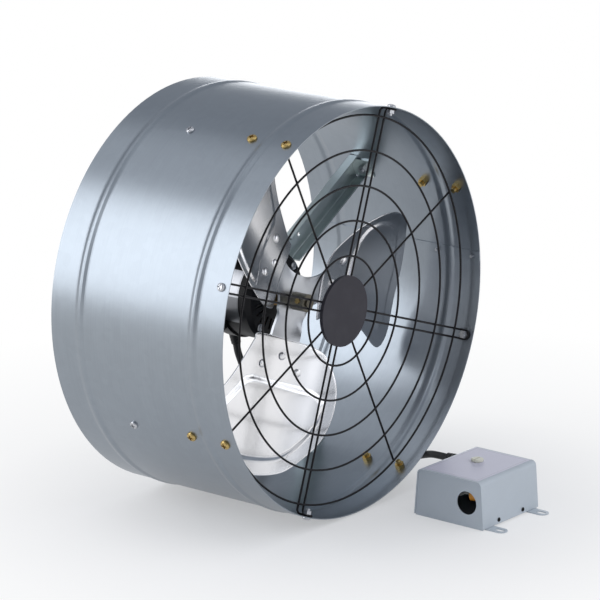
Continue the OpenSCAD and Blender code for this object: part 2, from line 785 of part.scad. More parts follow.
// Places its children where a blade's rivets go, +Z square out of the blade's front face
module rivet_places(turn) {
    rotate([0, 0, turn]) {
        rivet_place(rivet_inner_s, 0) children();
        for (side = [-1, 1]) rivet_place(rivet_outer_s, side * rivet_outer_c) children();
    }
}

module rivet_place(s, c) {
    translate([s, c, section_rise(c) - blade_at])
        rotate([atan(section_slope(section_step(c))), 0, 0]) children();
}

module spider_plate() {
    color([0.6, 0.62, 0.65]) in_drum() difference() {
        union() {
            bar(spider_r, spider_at, spider_at + spider_t);
            for (turn = blade_turns) rotate([0, 0, turn]) intersection() {
                blade_prism(spider_arm_points());
                blade_sheet(blade_at - spider_at, spider_t / cos(blade_pitch));
            }
        }
        bar(shaft_r + touch, spider_at - spider_r, spider_at + spider_r);
        for (turn = blade_turns) rivet_places(turn)
            cylinder(d = rivet_d + 2 * touch, h = spider_r, center = true);
    }
}

// Arm of the spider plate: it flows out of the disc, narrows to a waist and ends rounded
function spider_arm_points() = let (half = scaled(spider_half_shares, spider_reach), n = len(half))
    concat([for (p = half) [p[0], -p[1]]], [for (i = [1:n]) half[n - i]]);

// Sheet whose front face follows the blade's section, lifted and thickened as asked
module blade_sheet(lift, thick) {
    cs = scaled(chord_steps, blade_r);
    n = len(cs);
    rotate([90, 0, 90]) linear_extrude(blade_r + overrun) polygon(concat(
        [for (c = cs) [c, blade_rise(c) + lift - blade_at]],
        [for (i = [1:n]) [cs[n - i], blade_rise(cs[n - i]) + lift - thick - blade_at]]));
}

// Upright prism through the whole depth of a blade
module blade_prism(points) {
    translate([0, 0, -blade_at - blade_r / 3]) linear_extrude(blade_r * 2 / 3) polygon(points);
}

module blade(turn) {
    outline = scaled(blade_outline_shares, blade_r);
    panel = scaled(panel_outline_shares, blade_r);
    inner = drawn_in(panel, panel_middle_share * blade_r, panel_inner_share);
    color([0.86, 0.87, 0.89]) in_drum() difference() {
        rotate([0, 0, turn]) union() {
            difference() {
                intersection() {
                    blade_prism(outline);
                    blade_sheet(0, blade_t);
                }
                blade_prism(inner);
            }
            intersection() {
                blade_prism(panel);
                blade_sheet(panel_h, blade_t);
            }
            intersection() {
                difference() {
                    blade_prism(panel);
                    blade_prism(inner);
                }
                blade_sheet(panel_h, panel_h + blade_t);
            }
        }
        rivet_places(turn) cylinder(d = rivet_d + 2 * touch, h = spider_r, center = true);
    }
}

module blade_rivets() {
    grip = spider_at - blade_at + spider_t / cos(blade_pitch) + 2 * touch;
    color([0.8, 0.81, 0.83]) in_drum() for (turn = blade_turns) rivet_places(turn)
        translate([0, 0, 2 * touch]) {
        rotate_extrude() polygon([[0, 0], [rivet_head_d / 2, 0],
            [rivet_head_d * 0.42, rivet_head_h * 0.55], [rivet_head_d * 0.25, rivet_head_h * 0.9],
            [0, rivet_head_h]]);
        translate([0, 0, -grip - rivet_tail_h]) cylinder(d = rivet_d, h = grip + rivet_tail_h);
        translate([0, 0, -grip - rivet_tail_h]) cylinder(d = rivet_tail_d, h = rivet_tail_h);
    }
}

// Section of the box across its length, in from the cover's outside by this much
module box_section(inset) {
    top = box_h - inset;
    r = box_bend_r - inset;
    mid_z = top - r;
    reach = box_half * cos(box_lean) - inset;
    mid_y = (reach - r - mid_z * sin(box_lean)) / cos(box_lean);
    foot = reach / cos(box_lean);
    side_y = mid_y + r * cos(box_lean);
    side_z = mid_z + r * sin(box_lean);
    polygon([[-foot, 0], [foot, 0], [side_y, side_z], [mid_y, mid_z], [mid_y, top],
        [-mid_y, top], [-mid_y, mid_z], [-side_y, side_z]]);
    for (side = [-1, 1]) translate([side * mid_y, mid_z]) circle(r = r);
}

// Extrudes its children, a section across the box, along X about the box's middle
module along_box(len) {
    translate([-len / 2, 0, 0]) rotate([90, 0, 90]) linear_extrude(len) children();
}

module box_cover() {
    color([0.68, 0.72, 0.78]) in_box() difference() {
        along_box(box_len) difference() {
            box_section(0);
            box_section(box_t);
            translate([-box_w, -overrun]) square([2 * box_w, cover_low + overrun]);
        }
        for (side = [-1, 1]) translate([side * cover_screw_off, -box_half, cover_screw_z])
            rotate([90, 0, 0]) cylinder(d = cover_screw_d + 2 * hole_clear, h = box_w / 4, center = true);
        translate([dial_x - box_x, dial_y - box_y, box_h - 2 * box_t])
            cylinder(d = dial_neck_d + 4 * hole_clear, h = 3 * box_t);
        translate([box_relief_x - box_x, box_half, box_relief_z]) rotate([90, 0, 0])
            cylinder(d = relief_root_d + 2 * hole_clear, h = box_w / 4, center = true);
    }
}

module box_base() {
    lip_y = box_half - box_t - cover_gap - lip_h * tan(box_lean);
    wall_x = box_len / 2 - end_wall_in;
    color([0.6, 0.64, 0.7]) in_box() difference() {
        union() {
            translate([-wall_x, -lip_y, 0]) cube([2 * wall_x, 2 * lip_y, box_t]);
            for (side = [-1, 1]) translate([side * (wall_x - box_t / 2), 0, 0])
                along_box(box_t) box_section(box_t + cover_gap);
            for (side = [-1, 1]) translate([-wall_x, side * (lip_y - box_t / 2) - box_t / 2, 0])
                cube([2 * wall_x, box_t, lip_h]);
            for (side = [-1, 1]) translate([side * tab_off, 0, 0]) tab();
        }
        translate([-wall_x - overrun, box_front + knockout_in - box_y, knockout_z])
            rotate([0, 90, 0]) cylinder(d = knockout_d, h = box_t + 2 * overrun);
        for (side = [-1, 1]) translate([side * cover_screw_off, -box_half, cover_screw_z])
            rotate([90, 0, 0]) cylinder(d = cover_screw_d + 2 * touch, h = box_w / 4, center = true);
    }
}

// Slotted tab that runs out from the base under the cover's front wall
module tab() {
    end_y = -box_half - tab_reach;
    slot_y = end_y + tab_w / 2;
    slot_half = (tab_slot_len - tab_slot_w) / 2;
    linear_extrude(box_t) difference() {
        union() {
            translate([-tab_w / 2, slot_y]) square([tab_w, box_half - tab_w / 2]);
            translate([0, slot_y]) circle(d = tab_w);
        }
        translate([0, slot_y + tab_slot_in]) {
            square([tab_slot_w, 2 * slot_half], center = true);
            for (side = [-1, 1]) translate([0, side * slot_half]) circle(d = tab_slot_w);
        }
    }
}

module cover_screws() {
    seat_y = -box_half + cover_screw_z * tan(box_lean) - touch * 4;
    color([0.12, 0.12, 0.13]) in_box() for (side = [-1, 1])
        translate([side * cover_screw_off, seat_y, cover_screw_z]) rotate([90, 0, 0])
            pan_screw(cover_screw_d, cover_screw_head_d, cover_screw_head_h, cover_screw_len);
}

module cover_label() {
    flat_half = box_half - box_h * tan(box_lean) - box_bend_r;
    color([0.86, 0.84, 0.9]) in_box() translate([0, 0, box_h]) difference() {
        translate([label_in - box_len / 2, -flat_half, 0])
            cube([box_len - 2 * label_in, 2 * flat_half, label_t]);
        translate([dial_x - box_x, dial_y - box_y, -overrun])
            cylinder(d = dial_neck_d + 4 * hole_clear, h = 2 * overrun);
    }
}

module thermostat_switch() {
    color([0.2, 0.2, 0.22]) in_box() translate([dial_x - box_x, dial_y - box_y, box_h - box_t]) {
        difference() {
            translate([-switch_len / 2, -switch_w / 2, -switch_h]) cube([switch_len, switch_w, switch_h]);
            translate([0, 0, -dial_neck_down]) cylinder(d = dial_neck_d + 2 * switch_hole_clear,
                h = dial_neck_down + overrun);
        }
    }
}

module thermostat_dial() {
    color([0.9, 0.89, 0.82]) in_box() translate([dial_x - box_x, dial_y - box_y, box_h]) difference() {
        union() {
            translate([0, 0, label_t + dial_lift]) rotate_extrude() polygon([[0, 0], [dial_d / 2, 0],
                [dial_d / 2, dial_h * 0.75], [dial_d * 0.44, dial_h * 0.95], [dial_d * 0.4, dial_h],
                [0, dial_h]]);
            translate([0, 0, dial_lift - dial_neck_down - box_t])
                cylinder(d = dial_neck_d, h = dial_neck_down + box_t + label_t);
        }
        translate([-dial_d, -dial_slot_w / 2, label_t + dial_lift + dial_h - dial_slot_deep])
            cube([2 * dial_d, dial_slot_w, 2 * dial_slot_deep]);
    }
}

module wire_connectors() {
    color([0.85, 0.5, 0.12]) in_box() for (x = connector_xs)
        translate([x, connector_mouth_y, connector_z]) rotate([90, 0, 0])
            cylinder(d1 = connector_d, d2 = connector_tip_d, h = connector_len);
}

// Round wire through these points, with a flat end at each end
module wire_run(points) {
    for (i = [1:len(points) - 1]) {
        run = points[i] - points[i - 1];
        translate(points[i - 1]) rotate([0, acos(run[2] / norm(run)), atan2(run[1], run[0])])
            cylinder(d = wire_core_d, h = norm(run));
        if (i > 1) translate(points[i - 1]) sphere(d = wire_core_d * elbow_share);
    }
}

// The lead's two wires from the strain relief, and the wire from the switch to a connector
module box_wires() {
    relief = [box_relief_x - box_x, box_relief_y() - relief_inside - touch, box_relief_z];
    switch_x = dial_x - box_x;
    switch_z = box_h - box_t - switch_h / 2;
    switch_side = switch_len / 2 + touch;
    mouth_y = connector_mouth_y + touch;
    slack = wire_slack;
    color([0.85, 0.85, 0.82]) in_box() {
        wire_run([relief - [wire_apart, 0, 0], relief - [wire_apart, slack, 0],
            [switch_x, relief[1] - 1.5 * slack, connector_z - slack],
            [connector_xs[0], mouth_y + 2 * slack, connector_z - slack / 2],
            [connector_xs[0], mouth_y + slack, connector_z],
            [connector_xs[0], mouth_y, connector_z]]);
        wire_run([relief + [wire_apart, 0, 0], relief + [wire_apart, -slack, 0],
            [relief[0], dial_y - box_y + slack, switch_z], [relief[0], dial_y - box_y, switch_z],
            [switch_x + switch_side, dial_y - box_y, switch_z]]);
        wire_run([[connector_xs[1], mouth_y, connector_z],
            [connector_xs[1], mouth_y + slack, connector_z],
            [connector_xs[1], dial_y - box_y, switch_z],
            [switch_x - switch_side, dial_y - box_y, switch_z]]);
    }
}

// Tapered sleeve with its flange's seat on z = 0 and its tip at the top
module strain_relief(inside) {
    rotate_extrude() polygon([[0, -inside], [relief_root_d / 2 - touch * 4, -inside],
        [relief_root_d / 2 - touch * 4, 0], [relief_flange_d / 2, 0],
        [relief_flange_d / 2, relief_flange_t], [relief_root_d / 2, relief_flange_t],
        [relief_tip_d / 2, relief_len], [0, relief_len]]);
}

module box_strain_relief() {
    color([0.08, 0.08, 0.08]) in_box() translate([box_relief_x - box_x, box_relief_y(), box_relief_z])
        rotate([-90, 0, 0]) strain_relief(relief_inside);
}

module motor_strain_relief() {
    color([0.08, 0.08, 0.08]) in_drum() on_radius(motor_relief_turn, motor_relief_at)
        translate([0, 0, motor_r + touch]) strain_relief(0);
}

// Lead: a round tube swept along its route with one smooth curve through the points, its two ends
// square to the axes of the strain reliefs
function lead_at(p, i, u) = 0.5 * (2 * p[1] + u * (p[2] - p[0])
    + u * u * (2 * p[0] - 5 * p[1] + 4 * p[2] - p[3])
    + u * u * u * (3 * p[1] - p[0] - 3 * p[2] + p[3]));
function clamped(i, n) = max(0, min(n - 1, i));
function lead_path(route) = [for (i = [0:len(route) - 2], u = [0, 0.5])
    lead_at([for (k = [-1:2]) route[clamped(i + k, len(route))]], i, u)];
function unit(v) = v / norm(v);
function box_relief_y() = box_half - (box_relief_z - relief_flange_d / 2) * tan(box_lean) + touch;
function lead_from() = [box_relief_x, box_y + box_relief_y() + relief_len + touch, box_relief_z];
function lead_to_r() = motor_r + relief_len + 2 * touch;
function lead_to() = [lead_to_r() * cos(motor_relief_turn), motor_relief_at,
    axis_z + lead_to_r() * sin(motor_relief_turn)];
function lead_length(p) = len(p) < 2 ? 0 : lead_sum(p, len(p) - 1);
function lead_sum(p, i) = i == 0 ? 0 : norm(p[i] - p[i - 1]) + lead_sum(p, i - 1);

module tube_along(path, d, sides, from_dir, to_dir) {
    n = len(path);
    dirs = concat([from_dir], [for (i = [1:n - 2]) unit(path[i + 1] - path[i - 1])], [to_dir]);
    rings = [for (i = [0:n - 1]) let (across = unit(cross(dirs[i], [1, 1, 0.3])),
        up = cross(across, dirs[i])) [for (k = [0:sides - 1])
            path[i] + d / 2 * (cos(360 * k / sides) * across + sin(360 * k / sides) * up)]];
    points = [for (ring = rings) each ring];
    sides_faces = [for (i = [0:n - 2], k = [0:sides - 1]) let (j = (k + 1) % sides, a = i * sides)
        each [[a + k, a + j, a + sides + k], [a + j, a + sides + j, a + sides + k]]];
    first = [for (k = [1:sides - 2]) [0, k + 1, k]];
    last_at = (n - 1) * sides;
    last = [for (k = [1:sides - 2]) [last_at, last_at + k, last_at + k + 1]];
    polyhedron(points, concat(sides_faces, first, last));
}

module motor_lead() {
    path = concat(lead_path(concat([lead_from()], lead_route, [lead_to()])), [lead_to()]);
    echo(lead_length_mm = lead_length(path), rings = len(path));
    color([0.07, 0.07, 0.07]) translate([0, -footprint_y, 0]) tube_along(path, lead_d, lead_sides,
        [0, 1, 0], [-cos(motor_relief_turn), 0, -sin(motor_relief_turn)]);
}

housing();
seam_screws();
guard_rings();
guard_hairpins();
guard_spokes();
guard_disc();
guard_screws();
guard_nuts();
bracket_bolts();
bracket_nuts();
motor_arm(arm_turn);  // motor_arm_1
motor_arm(arm_turn + 90);  // motor_arm_2
motor_arm(arm_turn + 180);  // motor_arm_3
motor_arm(arm_turn + 270);  // motor_arm_4
arm_screws();
arm_nuts();
mount_band();
band_screw();
band_nut();
motor_shell();
front_end_bell();
rear_end_bell();
through_bolts();
through_bolt_nuts();
stator_core();
stator_windings();
rotor();
motor_shaft();
bearing(motor_front_at);  // front_bearing
bearing(motor_end_at - bearing_len);  // rear_bearing
thrust_washers();
nameplate();
hub_collar();
hub_set_screw();
spider_plate();
blade(blade_turns[0]);  // blade_1
blade(blade_turns[1]);  // blade_2
blade(blade_turns[2]);  // blade_3
blade_rivets();
box_base();
box_cover();
cover_screws();
cover_label();
thermostat_switch();
thermostat_dial();
wire_connectors();
box_wires();
box_strain_relief();
motor_strain_relief();
motor_lead();
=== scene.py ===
import math

import bmesh
import bpy
import numpy as np
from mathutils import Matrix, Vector


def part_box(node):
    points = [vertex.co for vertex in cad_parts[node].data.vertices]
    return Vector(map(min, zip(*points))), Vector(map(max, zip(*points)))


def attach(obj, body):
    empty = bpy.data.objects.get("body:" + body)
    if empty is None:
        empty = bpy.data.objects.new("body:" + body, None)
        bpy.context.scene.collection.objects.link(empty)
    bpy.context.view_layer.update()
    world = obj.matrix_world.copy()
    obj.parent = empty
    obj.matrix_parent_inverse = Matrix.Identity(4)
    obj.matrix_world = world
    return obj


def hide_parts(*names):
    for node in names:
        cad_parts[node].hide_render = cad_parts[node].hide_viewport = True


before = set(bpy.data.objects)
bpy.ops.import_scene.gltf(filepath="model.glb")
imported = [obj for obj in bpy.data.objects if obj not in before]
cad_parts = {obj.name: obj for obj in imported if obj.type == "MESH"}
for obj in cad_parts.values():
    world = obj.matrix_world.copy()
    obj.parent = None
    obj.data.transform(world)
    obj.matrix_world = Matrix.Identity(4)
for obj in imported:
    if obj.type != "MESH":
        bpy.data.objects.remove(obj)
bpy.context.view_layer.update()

bl_info = {
    "name": "Gable attic fan",
    "version": (1, 0, 0),
    "blender": (4, 5, 0),
    "location": "3D View > Sidebar > Attic fan",
    "description": "Finishes, blades, lead and stage for a gable attic fan",
    "category": "Object",
}

MM = 0.001

# Clearance between pieces that touch
TOUCH = 0.05 * MM

# Drum frame: the axis runs along Y at this height, and depths count from the guard-side rim
drum_low, drum_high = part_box("housing")
AXIS_Z = (drum_low.z + drum_high.z) / 2
RIM_Y = drum_low.y

# Blade outline and pressed panel, as shares of the tip radius: along the blade, across it
BLADE_OUTLINE = (
    (0.213, -0.174), (0.206, 0.02), (0.207, 0.14), (0.222, 0.21), (0.243, 0.24),
    (0.276, 0.265), (0.311, 0.287), (0.353, 0.306), (0.4, 0.32), (0.45, 0.328),
    (0.515, 0.331), (0.579, 0.328), (0.645, 0.317), (0.704, 0.298), (0.755, 0.272),
    (0.806, 0.24), (0.854, 0.205), (0.893, 0.165), (0.921, 0.108), (0.942, 0.022),
    (0.947, -0.1), (0.941, -0.18), (0.931, -0.25), (0.92, -0.33), (0.907, -0.406),
    (0.89, -0.468), (0.862, -0.518), (0.825, -0.549), (0.799, -0.556), (0.773, -0.55),
    (0.742, -0.523), (0.712, -0.484), (0.68, -0.443), (0.641, -0.399), (0.6, -0.36),
    (0.551, -0.322), (0.455, -0.27), (0.348, -0.227), (0.253, -0.194),
)
PANEL_OUTLINE = (
    (0.449, -0.112), (0.447, 0.169), (0.45, 0.208), (0.462, 0.241), (0.483, 0.263),
    (0.52, 0.271), (0.58, 0.266), (0.65, 0.244), (0.726, 0.204), (0.789, 0.158),
    (0.825, 0.11), (0.849, 0.03), (0.864, -0.084), (0.857, -0.15), (0.849, -0.22),
    (0.843, -0.29), (0.835, -0.362), (0.824, -0.41), (0.809, -0.43), (0.79, -0.435),
    (0.765, -0.419), (0.705, -0.363), (0.635, -0.303), (0.551, -0.242), (0.494, -0.208),
    (0.466, -0.185), (0.452, -0.155),
)
BLADE_MIDDLE = (0.62, -0.03)

# A blade's section, as shares of the tip radius: how far across it the camber runs, and where
# its trailing lobe starts and over what width it rises
CAMBER_REACH = 0.337
LOBE_START = 0.25
LOBE_WIDTH = 0.29

# Rings of points from a blade's middle to its rim, as shares of the way, and the share of the
# sheet's thickness by which the last two are rounded
BLADE_RINGS = (*np.linspace(0.02, 0.985, 54), 0.996, 1.0)
RIM_ROUNDING = (0.12, 0.42)

# Steps of the smooth curve between two places of each outline
BLADE_STEPS = 8
PANEL_STEPS = 4
SPIDER_STEPS = 4

# Turn of the first blade in degrees, and the number of blades
BLADE_TURN = 6.4
BLADE_COUNT = 3

# Half width of an arm of the spider plate, as shares of the arm's reach: along it, across it
SPIDER_HALF = (
    (0.161, 0.279), (0.191, 0.255), (0.237, 0.232), (0.296, 0.216), (0.368, 0.207),
    (0.447, 0.205), (0.5, 0.213), (0.579, 0.25), (0.658, 0.303), (0.737, 0.334),
    (0.829, 0.329), (0.921, 0.275), (0.98, 0.19), (1, 0.08),
)

# The spider plate's grid: points across an arm, and rows between the bore and an arm's root,
# where an arm takes this many degrees to each side of its middle
SPIDER_COLUMNS = 25
SPIDER_ROOT_ROWS = 11
SPIDER_FAN = 60

# Where an arm's twist comes in: distance from the axis, and degrees off the arm's middle
TWIST_RADII = (12 * MM, 36 * MM)
TWIST_ANGLES = (26, 60)

# Points of the plate that lie this close are one, and edges sharper than this stay sharp
MERGE_DISTANCE = 0.02 * MM
SHARP_ANGLE = math.radians(50)

# Route of the lead from the box to the motor, in millimetres from the drum's axis, its
# guard-side rim and the floor
LEAD_ROUTE = (
    (110, -24.42, 33.2), (110.1, -12, 33.1), (110.9, -4, 32.1), (112.8, 6, 29), (116, 20, 23.6),
    (120.5, 36, 16.2), (125, 54, 10), (128.3, 72, 6), (130.3, 90, 4.1), (131, 108, 3.7),
    (131, 130, 3.7), (130.8, 152, 3.7), (130.3, 174, 3.7), (130, 194, 3.7), (129, 211, 3.7),
    (124.6, 225.6, 3.7), (114, 236.6, 3.9), (99, 240.5, 5.2), (84, 236.8, 8), (73.4, 225.8, 13),
    (69.2, 211.6, 17.8), (69, 198, 21.2), (68, 185, 24.4), (64.6, 173, 30.4), (58, 163.6, 42),
    (50.6, 160, 58), (42, 158.4, 77), (32.3, 158, 96.4), (23.9, 158, 113.4),
    (18.66, 158, 125.06), (16.07, 158, 134.72),
)

# Steps of the smooth curve between two places of the route
LEAD_STEPS = 6

# Strain reliefs: radius of the sleeve at its flange, of its tip and of the plug in the wall,
# thickness of the flange, depth of its edge at the wall, bevels, and the number of ribs
RELIEF_ROOT_R = 5.8 * MM
RELIEF_TIP_R = 4.6 * MM
RELIEF_PLUG_R = 5.6 * MM
RELIEF_FLANGE = 2.0 * MM
RELIEF_EDGE = 0.3 * MM
RELIEF_BEVEL = 0.4 * MM
RELIEF_RIBS = 5

# Where the ribs start, and what they leave of the relief's length
RIBS_START = 2.2 * MM
RIBS_MARGIN = 3.5 * MM

# One rib and the groove after it: share of its length, and depth under the sleeve
RIB_SHAPE = ((0.0, 0.0), (0.50, 0.1 * MM), (0.58, 0.9 * MM), (0.88, 0.95 * MM), (0.96, 0.15 * MM))

# How far the box's relief reaches through its wall, and the direction of the motor's relief
RELIEF_PLUG = 3 * MM
MOTOR_RELIEF_TURN = math.radians(-75.0)

# Soft lamps: name, direction from the fan, distance, width and height, and power in watts
SOFTBOXES = (
    ("softbox_left", (-0.69, 0.61, 0.36), 2.6, (1.5, 2.1), 28.0),
    ("softbox_right", (0.80, 0.60, 0.05), 2.8, (1.0, 0.7), 6.0),
    ("softbox_front", (0.36, -0.90, 0.42), 2.6, (3.2, 2.0), 20.0),
    ("softbox_back", (-0.13, 0.60, 0.79), 2.8, (1.5, 1.0), 2.6),
    ("softbox_top", (-0.2, -0.1, 1.0), 2.8, (1.6, 1.6), 7.0),
)

# How the floor turns to plain white: metres from the fan's middle, and share of white. The
# smaller share near the fan is painted shade: it greys the floor round the fan and its reflection
# in the metal
FLOOR_WHITE_AND_PAINTED_SHADE = ((0.12, 0.35), (0.35, 0.76), (0.65, 1.0))

# How far the floor lies under the fan
FLOOR_DROP = 0.2 * MM

# Camera: width of its sensor in millimetres, and how far it sees in metres
SENSOR_WIDTH = 36.0
VIEW_REACH = 200.0


def colour_property(name, description, default):
    """A colour that the user picks."""
    return bpy.props.FloatVectorProperty(
        name=name, description=description, default=default, subtype="COLOR", size=3,
        min=0.0, max=1.0)


def length_property(name, description, default):
    """A length in metres that the user sets."""
    return bpy.props.FloatProperty(
        name=name, description=description, default=default, unit="LENGTH", min=0.0)


class AtticFanStage(bpy.types.PropertyGroup):
    """Floor, light and camera."""
    floor_colour: colour_property("Floor", "Colour of the floor", (0.93, 0.93, 0.94))
    floor_size: length_property("Floor size", "Side of the square floor", 40.0)
    sky_colour: colour_property("Sky", "Colour of the room round the fan", (0.50, 0.53, 0.58))
    sky_strength: bpy.props.FloatProperty(
        name="Sky strength", description="Brightness of the room round the fan", default=0.88)
    camera_lens: bpy.props.FloatProperty(
        name="Lens", description="Focal length on a 36 mm sensor", default=227.32,
        subtype="DISTANCE_CAMERA")
    camera_azimuth: bpy.props.FloatProperty(
        name="Azimuth", description="Camera's turn about the upright axis",
        default=math.radians(-51.241), subtype="ANGLE")
    camera_elevation: bpy.props.FloatProperty(
        name="Elevation", description="Camera's height angle", default=math.radians(15.411),
        subtype="ANGLE")
    camera_place: bpy.props.FloatVectorProperty(
        name="Place", description="Where the camera stands",
        default=(-2.65726, -2.09781, 1.13568), subtype="TRANSLATION", size=3)


class AtticFanBlades(bpy.types.PropertyGroup):
    """Shape of the pressed blades and of the spider plate that carries them."""
    tip_radius: length_property("Tip radius", "Radius of the propeller", 178 * MM)
    sheet: length_property("Sheet", "Thickness of a blade", 1.3 * MM)
    front_depth: length_property("Front depth", "Depth of the blade's front behind the rim",
                                 71.4 * MM)
    pitch: bpy.props.FloatProperty(
        name="Pitch", description="Pitch at the root", default=math.radians(15.0),
        subtype="ANGLE")
    camber: length_property("Camber", "Extra rise of the leading edge", 16.4 * MM)
    lobe_lift: length_property("Lobe lift", "Extra rise of the trailing lobe", 6.4 * MM)
    panel_rise: length_property("Panel rise", "Height of the pressed panel", 2.2 * MM)
    panel_slope: length_property("Panel slope", "Width of the panel's sloping side", 5.5 * MM)
    spider_reach: length_property("Spider reach", "Reach of the spider plate's arms", 76 * MM)
    spider_sheet: length_property("Spider sheet", "Thickness of the spider plate", 2.5 * MM)
    spider_bore: length_property("Spider bore", "Radius of the spider plate's hole", 4.03 * MM)
    colour: colour_property("Blades", "Colour of the blades", (0.88, 0.88, 0.90))


class AtticFanLead(bpy.types.PropertyGroup):
    """Shape and colour of the lead and its reliefs."""
    diameter: length_property("Diameter", "Diameter of the lead", 7 * MM)
    relief_flange: length_property("Relief flange", "Diameter of a relief's flange", 15 * MM)
    relief_length: length_property("Relief length", "Length of a relief outside its wall",
                                   20 * MM)
    colour: colour_property("Lead", "Colour of the lead", (0.018, 0.018, 0.019))


class AtticFanMetals(bpy.types.PropertyGroup):
    """Colours of the bare and plated metals."""
    drum: colour_property("Drum", "Galvanised drum", (0.285, 0.317, 0.355))
    arms: colour_property("Arms", "Galvanised motor arms", (0.56, 0.62, 0.62))
    spider: colour_property("Spider", "Plated spider plate", (0.58, 0.60, 0.64))
    zinc: colour_property("Zinc", "Zinc-plated fasteners", (0.62, 0.63, 0.66))
    yellow_zinc: colour_property("Yellow zinc", "Yellow fasteners", (0.55, 0.40, 0.16))
    collar: colour_property("Collar", "Hub collar and shaft", (0.20, 0.185, 0.15))
    nameplate: colour_property("Nameplate", "Bare silver nameplate", (0.44, 0.45, 0.48))
    core: colour_property("Core", "Laminated core and rotor", (0.20, 0.205, 0.22))
    copper: colour_property("Copper", "Varnished windings", (0.48, 0.19, 0.07))
    bronze: colour_property("Bronze", "Sleeve bearings", (0.42, 0.27, 0.12))


class AtticFanPaints(bpy.types.PropertyGroup):
    """Colours of the painted and moulded pieces."""
    guard: colour_property("Guard", "Wire guard", (0.012, 0.011, 0.013))
    disc: colour_property("Disc", "Guard's centre disc", (0.036, 0.034, 0.044))
    motor: colour_property("Motor", "Motor and its band", (0.010, 0.010, 0.012))
    box: colour_property("Box", "Control box", (0.53, 0.58, 0.63))
    label: colour_property("Label", "Bare label on the box", (0.63, 0.62, 0.73))
    dial: colour_property("Dial", "Thermostat dial", (0.74, 0.73, 0.62))
    switch: colour_property("Switch", "Thermostat switch", (0.02, 0.02, 0.022))
    connectors: colour_property("Connectors", "Wire connectors", (0.80, 0.33, 0.03))
    wires: colour_property("Wires", "Wires in the box", (0.62, 0.62, 0.58))
    fibre: colour_property("Fibre", "Thrust washers", (0.20, 0.10, 0.05))


class Value:
    """One number, colour or vector in a shader, so that sums on it read as plain maths."""

    def __init__(self, shade, socket):
        self.shade = shade
        self.socket = socket

    def __add__(self, other):
        return self.shade.maths("ADD", self, other)

    __radd__ = __add__

    def __mul__(self, other):
        return self.shade.maths("MULTIPLY", self, other)

    __rmul__ = __mul__

    def __sub__(self, other):
        return self.shade.maths("SUBTRACT", self, other)

    def __rsub__(self, other):
        return self.shade.maths("SUBTRACT", other, self)

    def __truediv__(self, other):
        return self.shade.maths("DIVIDE", self, other)

    def __rtruediv__(self, other):
        return self.shade.maths("DIVIDE", other, self)

    def above(self, other):
        """One where this is more than the other, else nought."""
        return self.shade.maths("GREATER_THAN", self, other)

    def sine(self):
        return self.shade.maths("SINE", self)

    def size(self):
        """This without its sign."""
        return self.shade.maths("ABSOLUTE", self)

    def root(self):
        return self.shade.maths("SQRT", self)


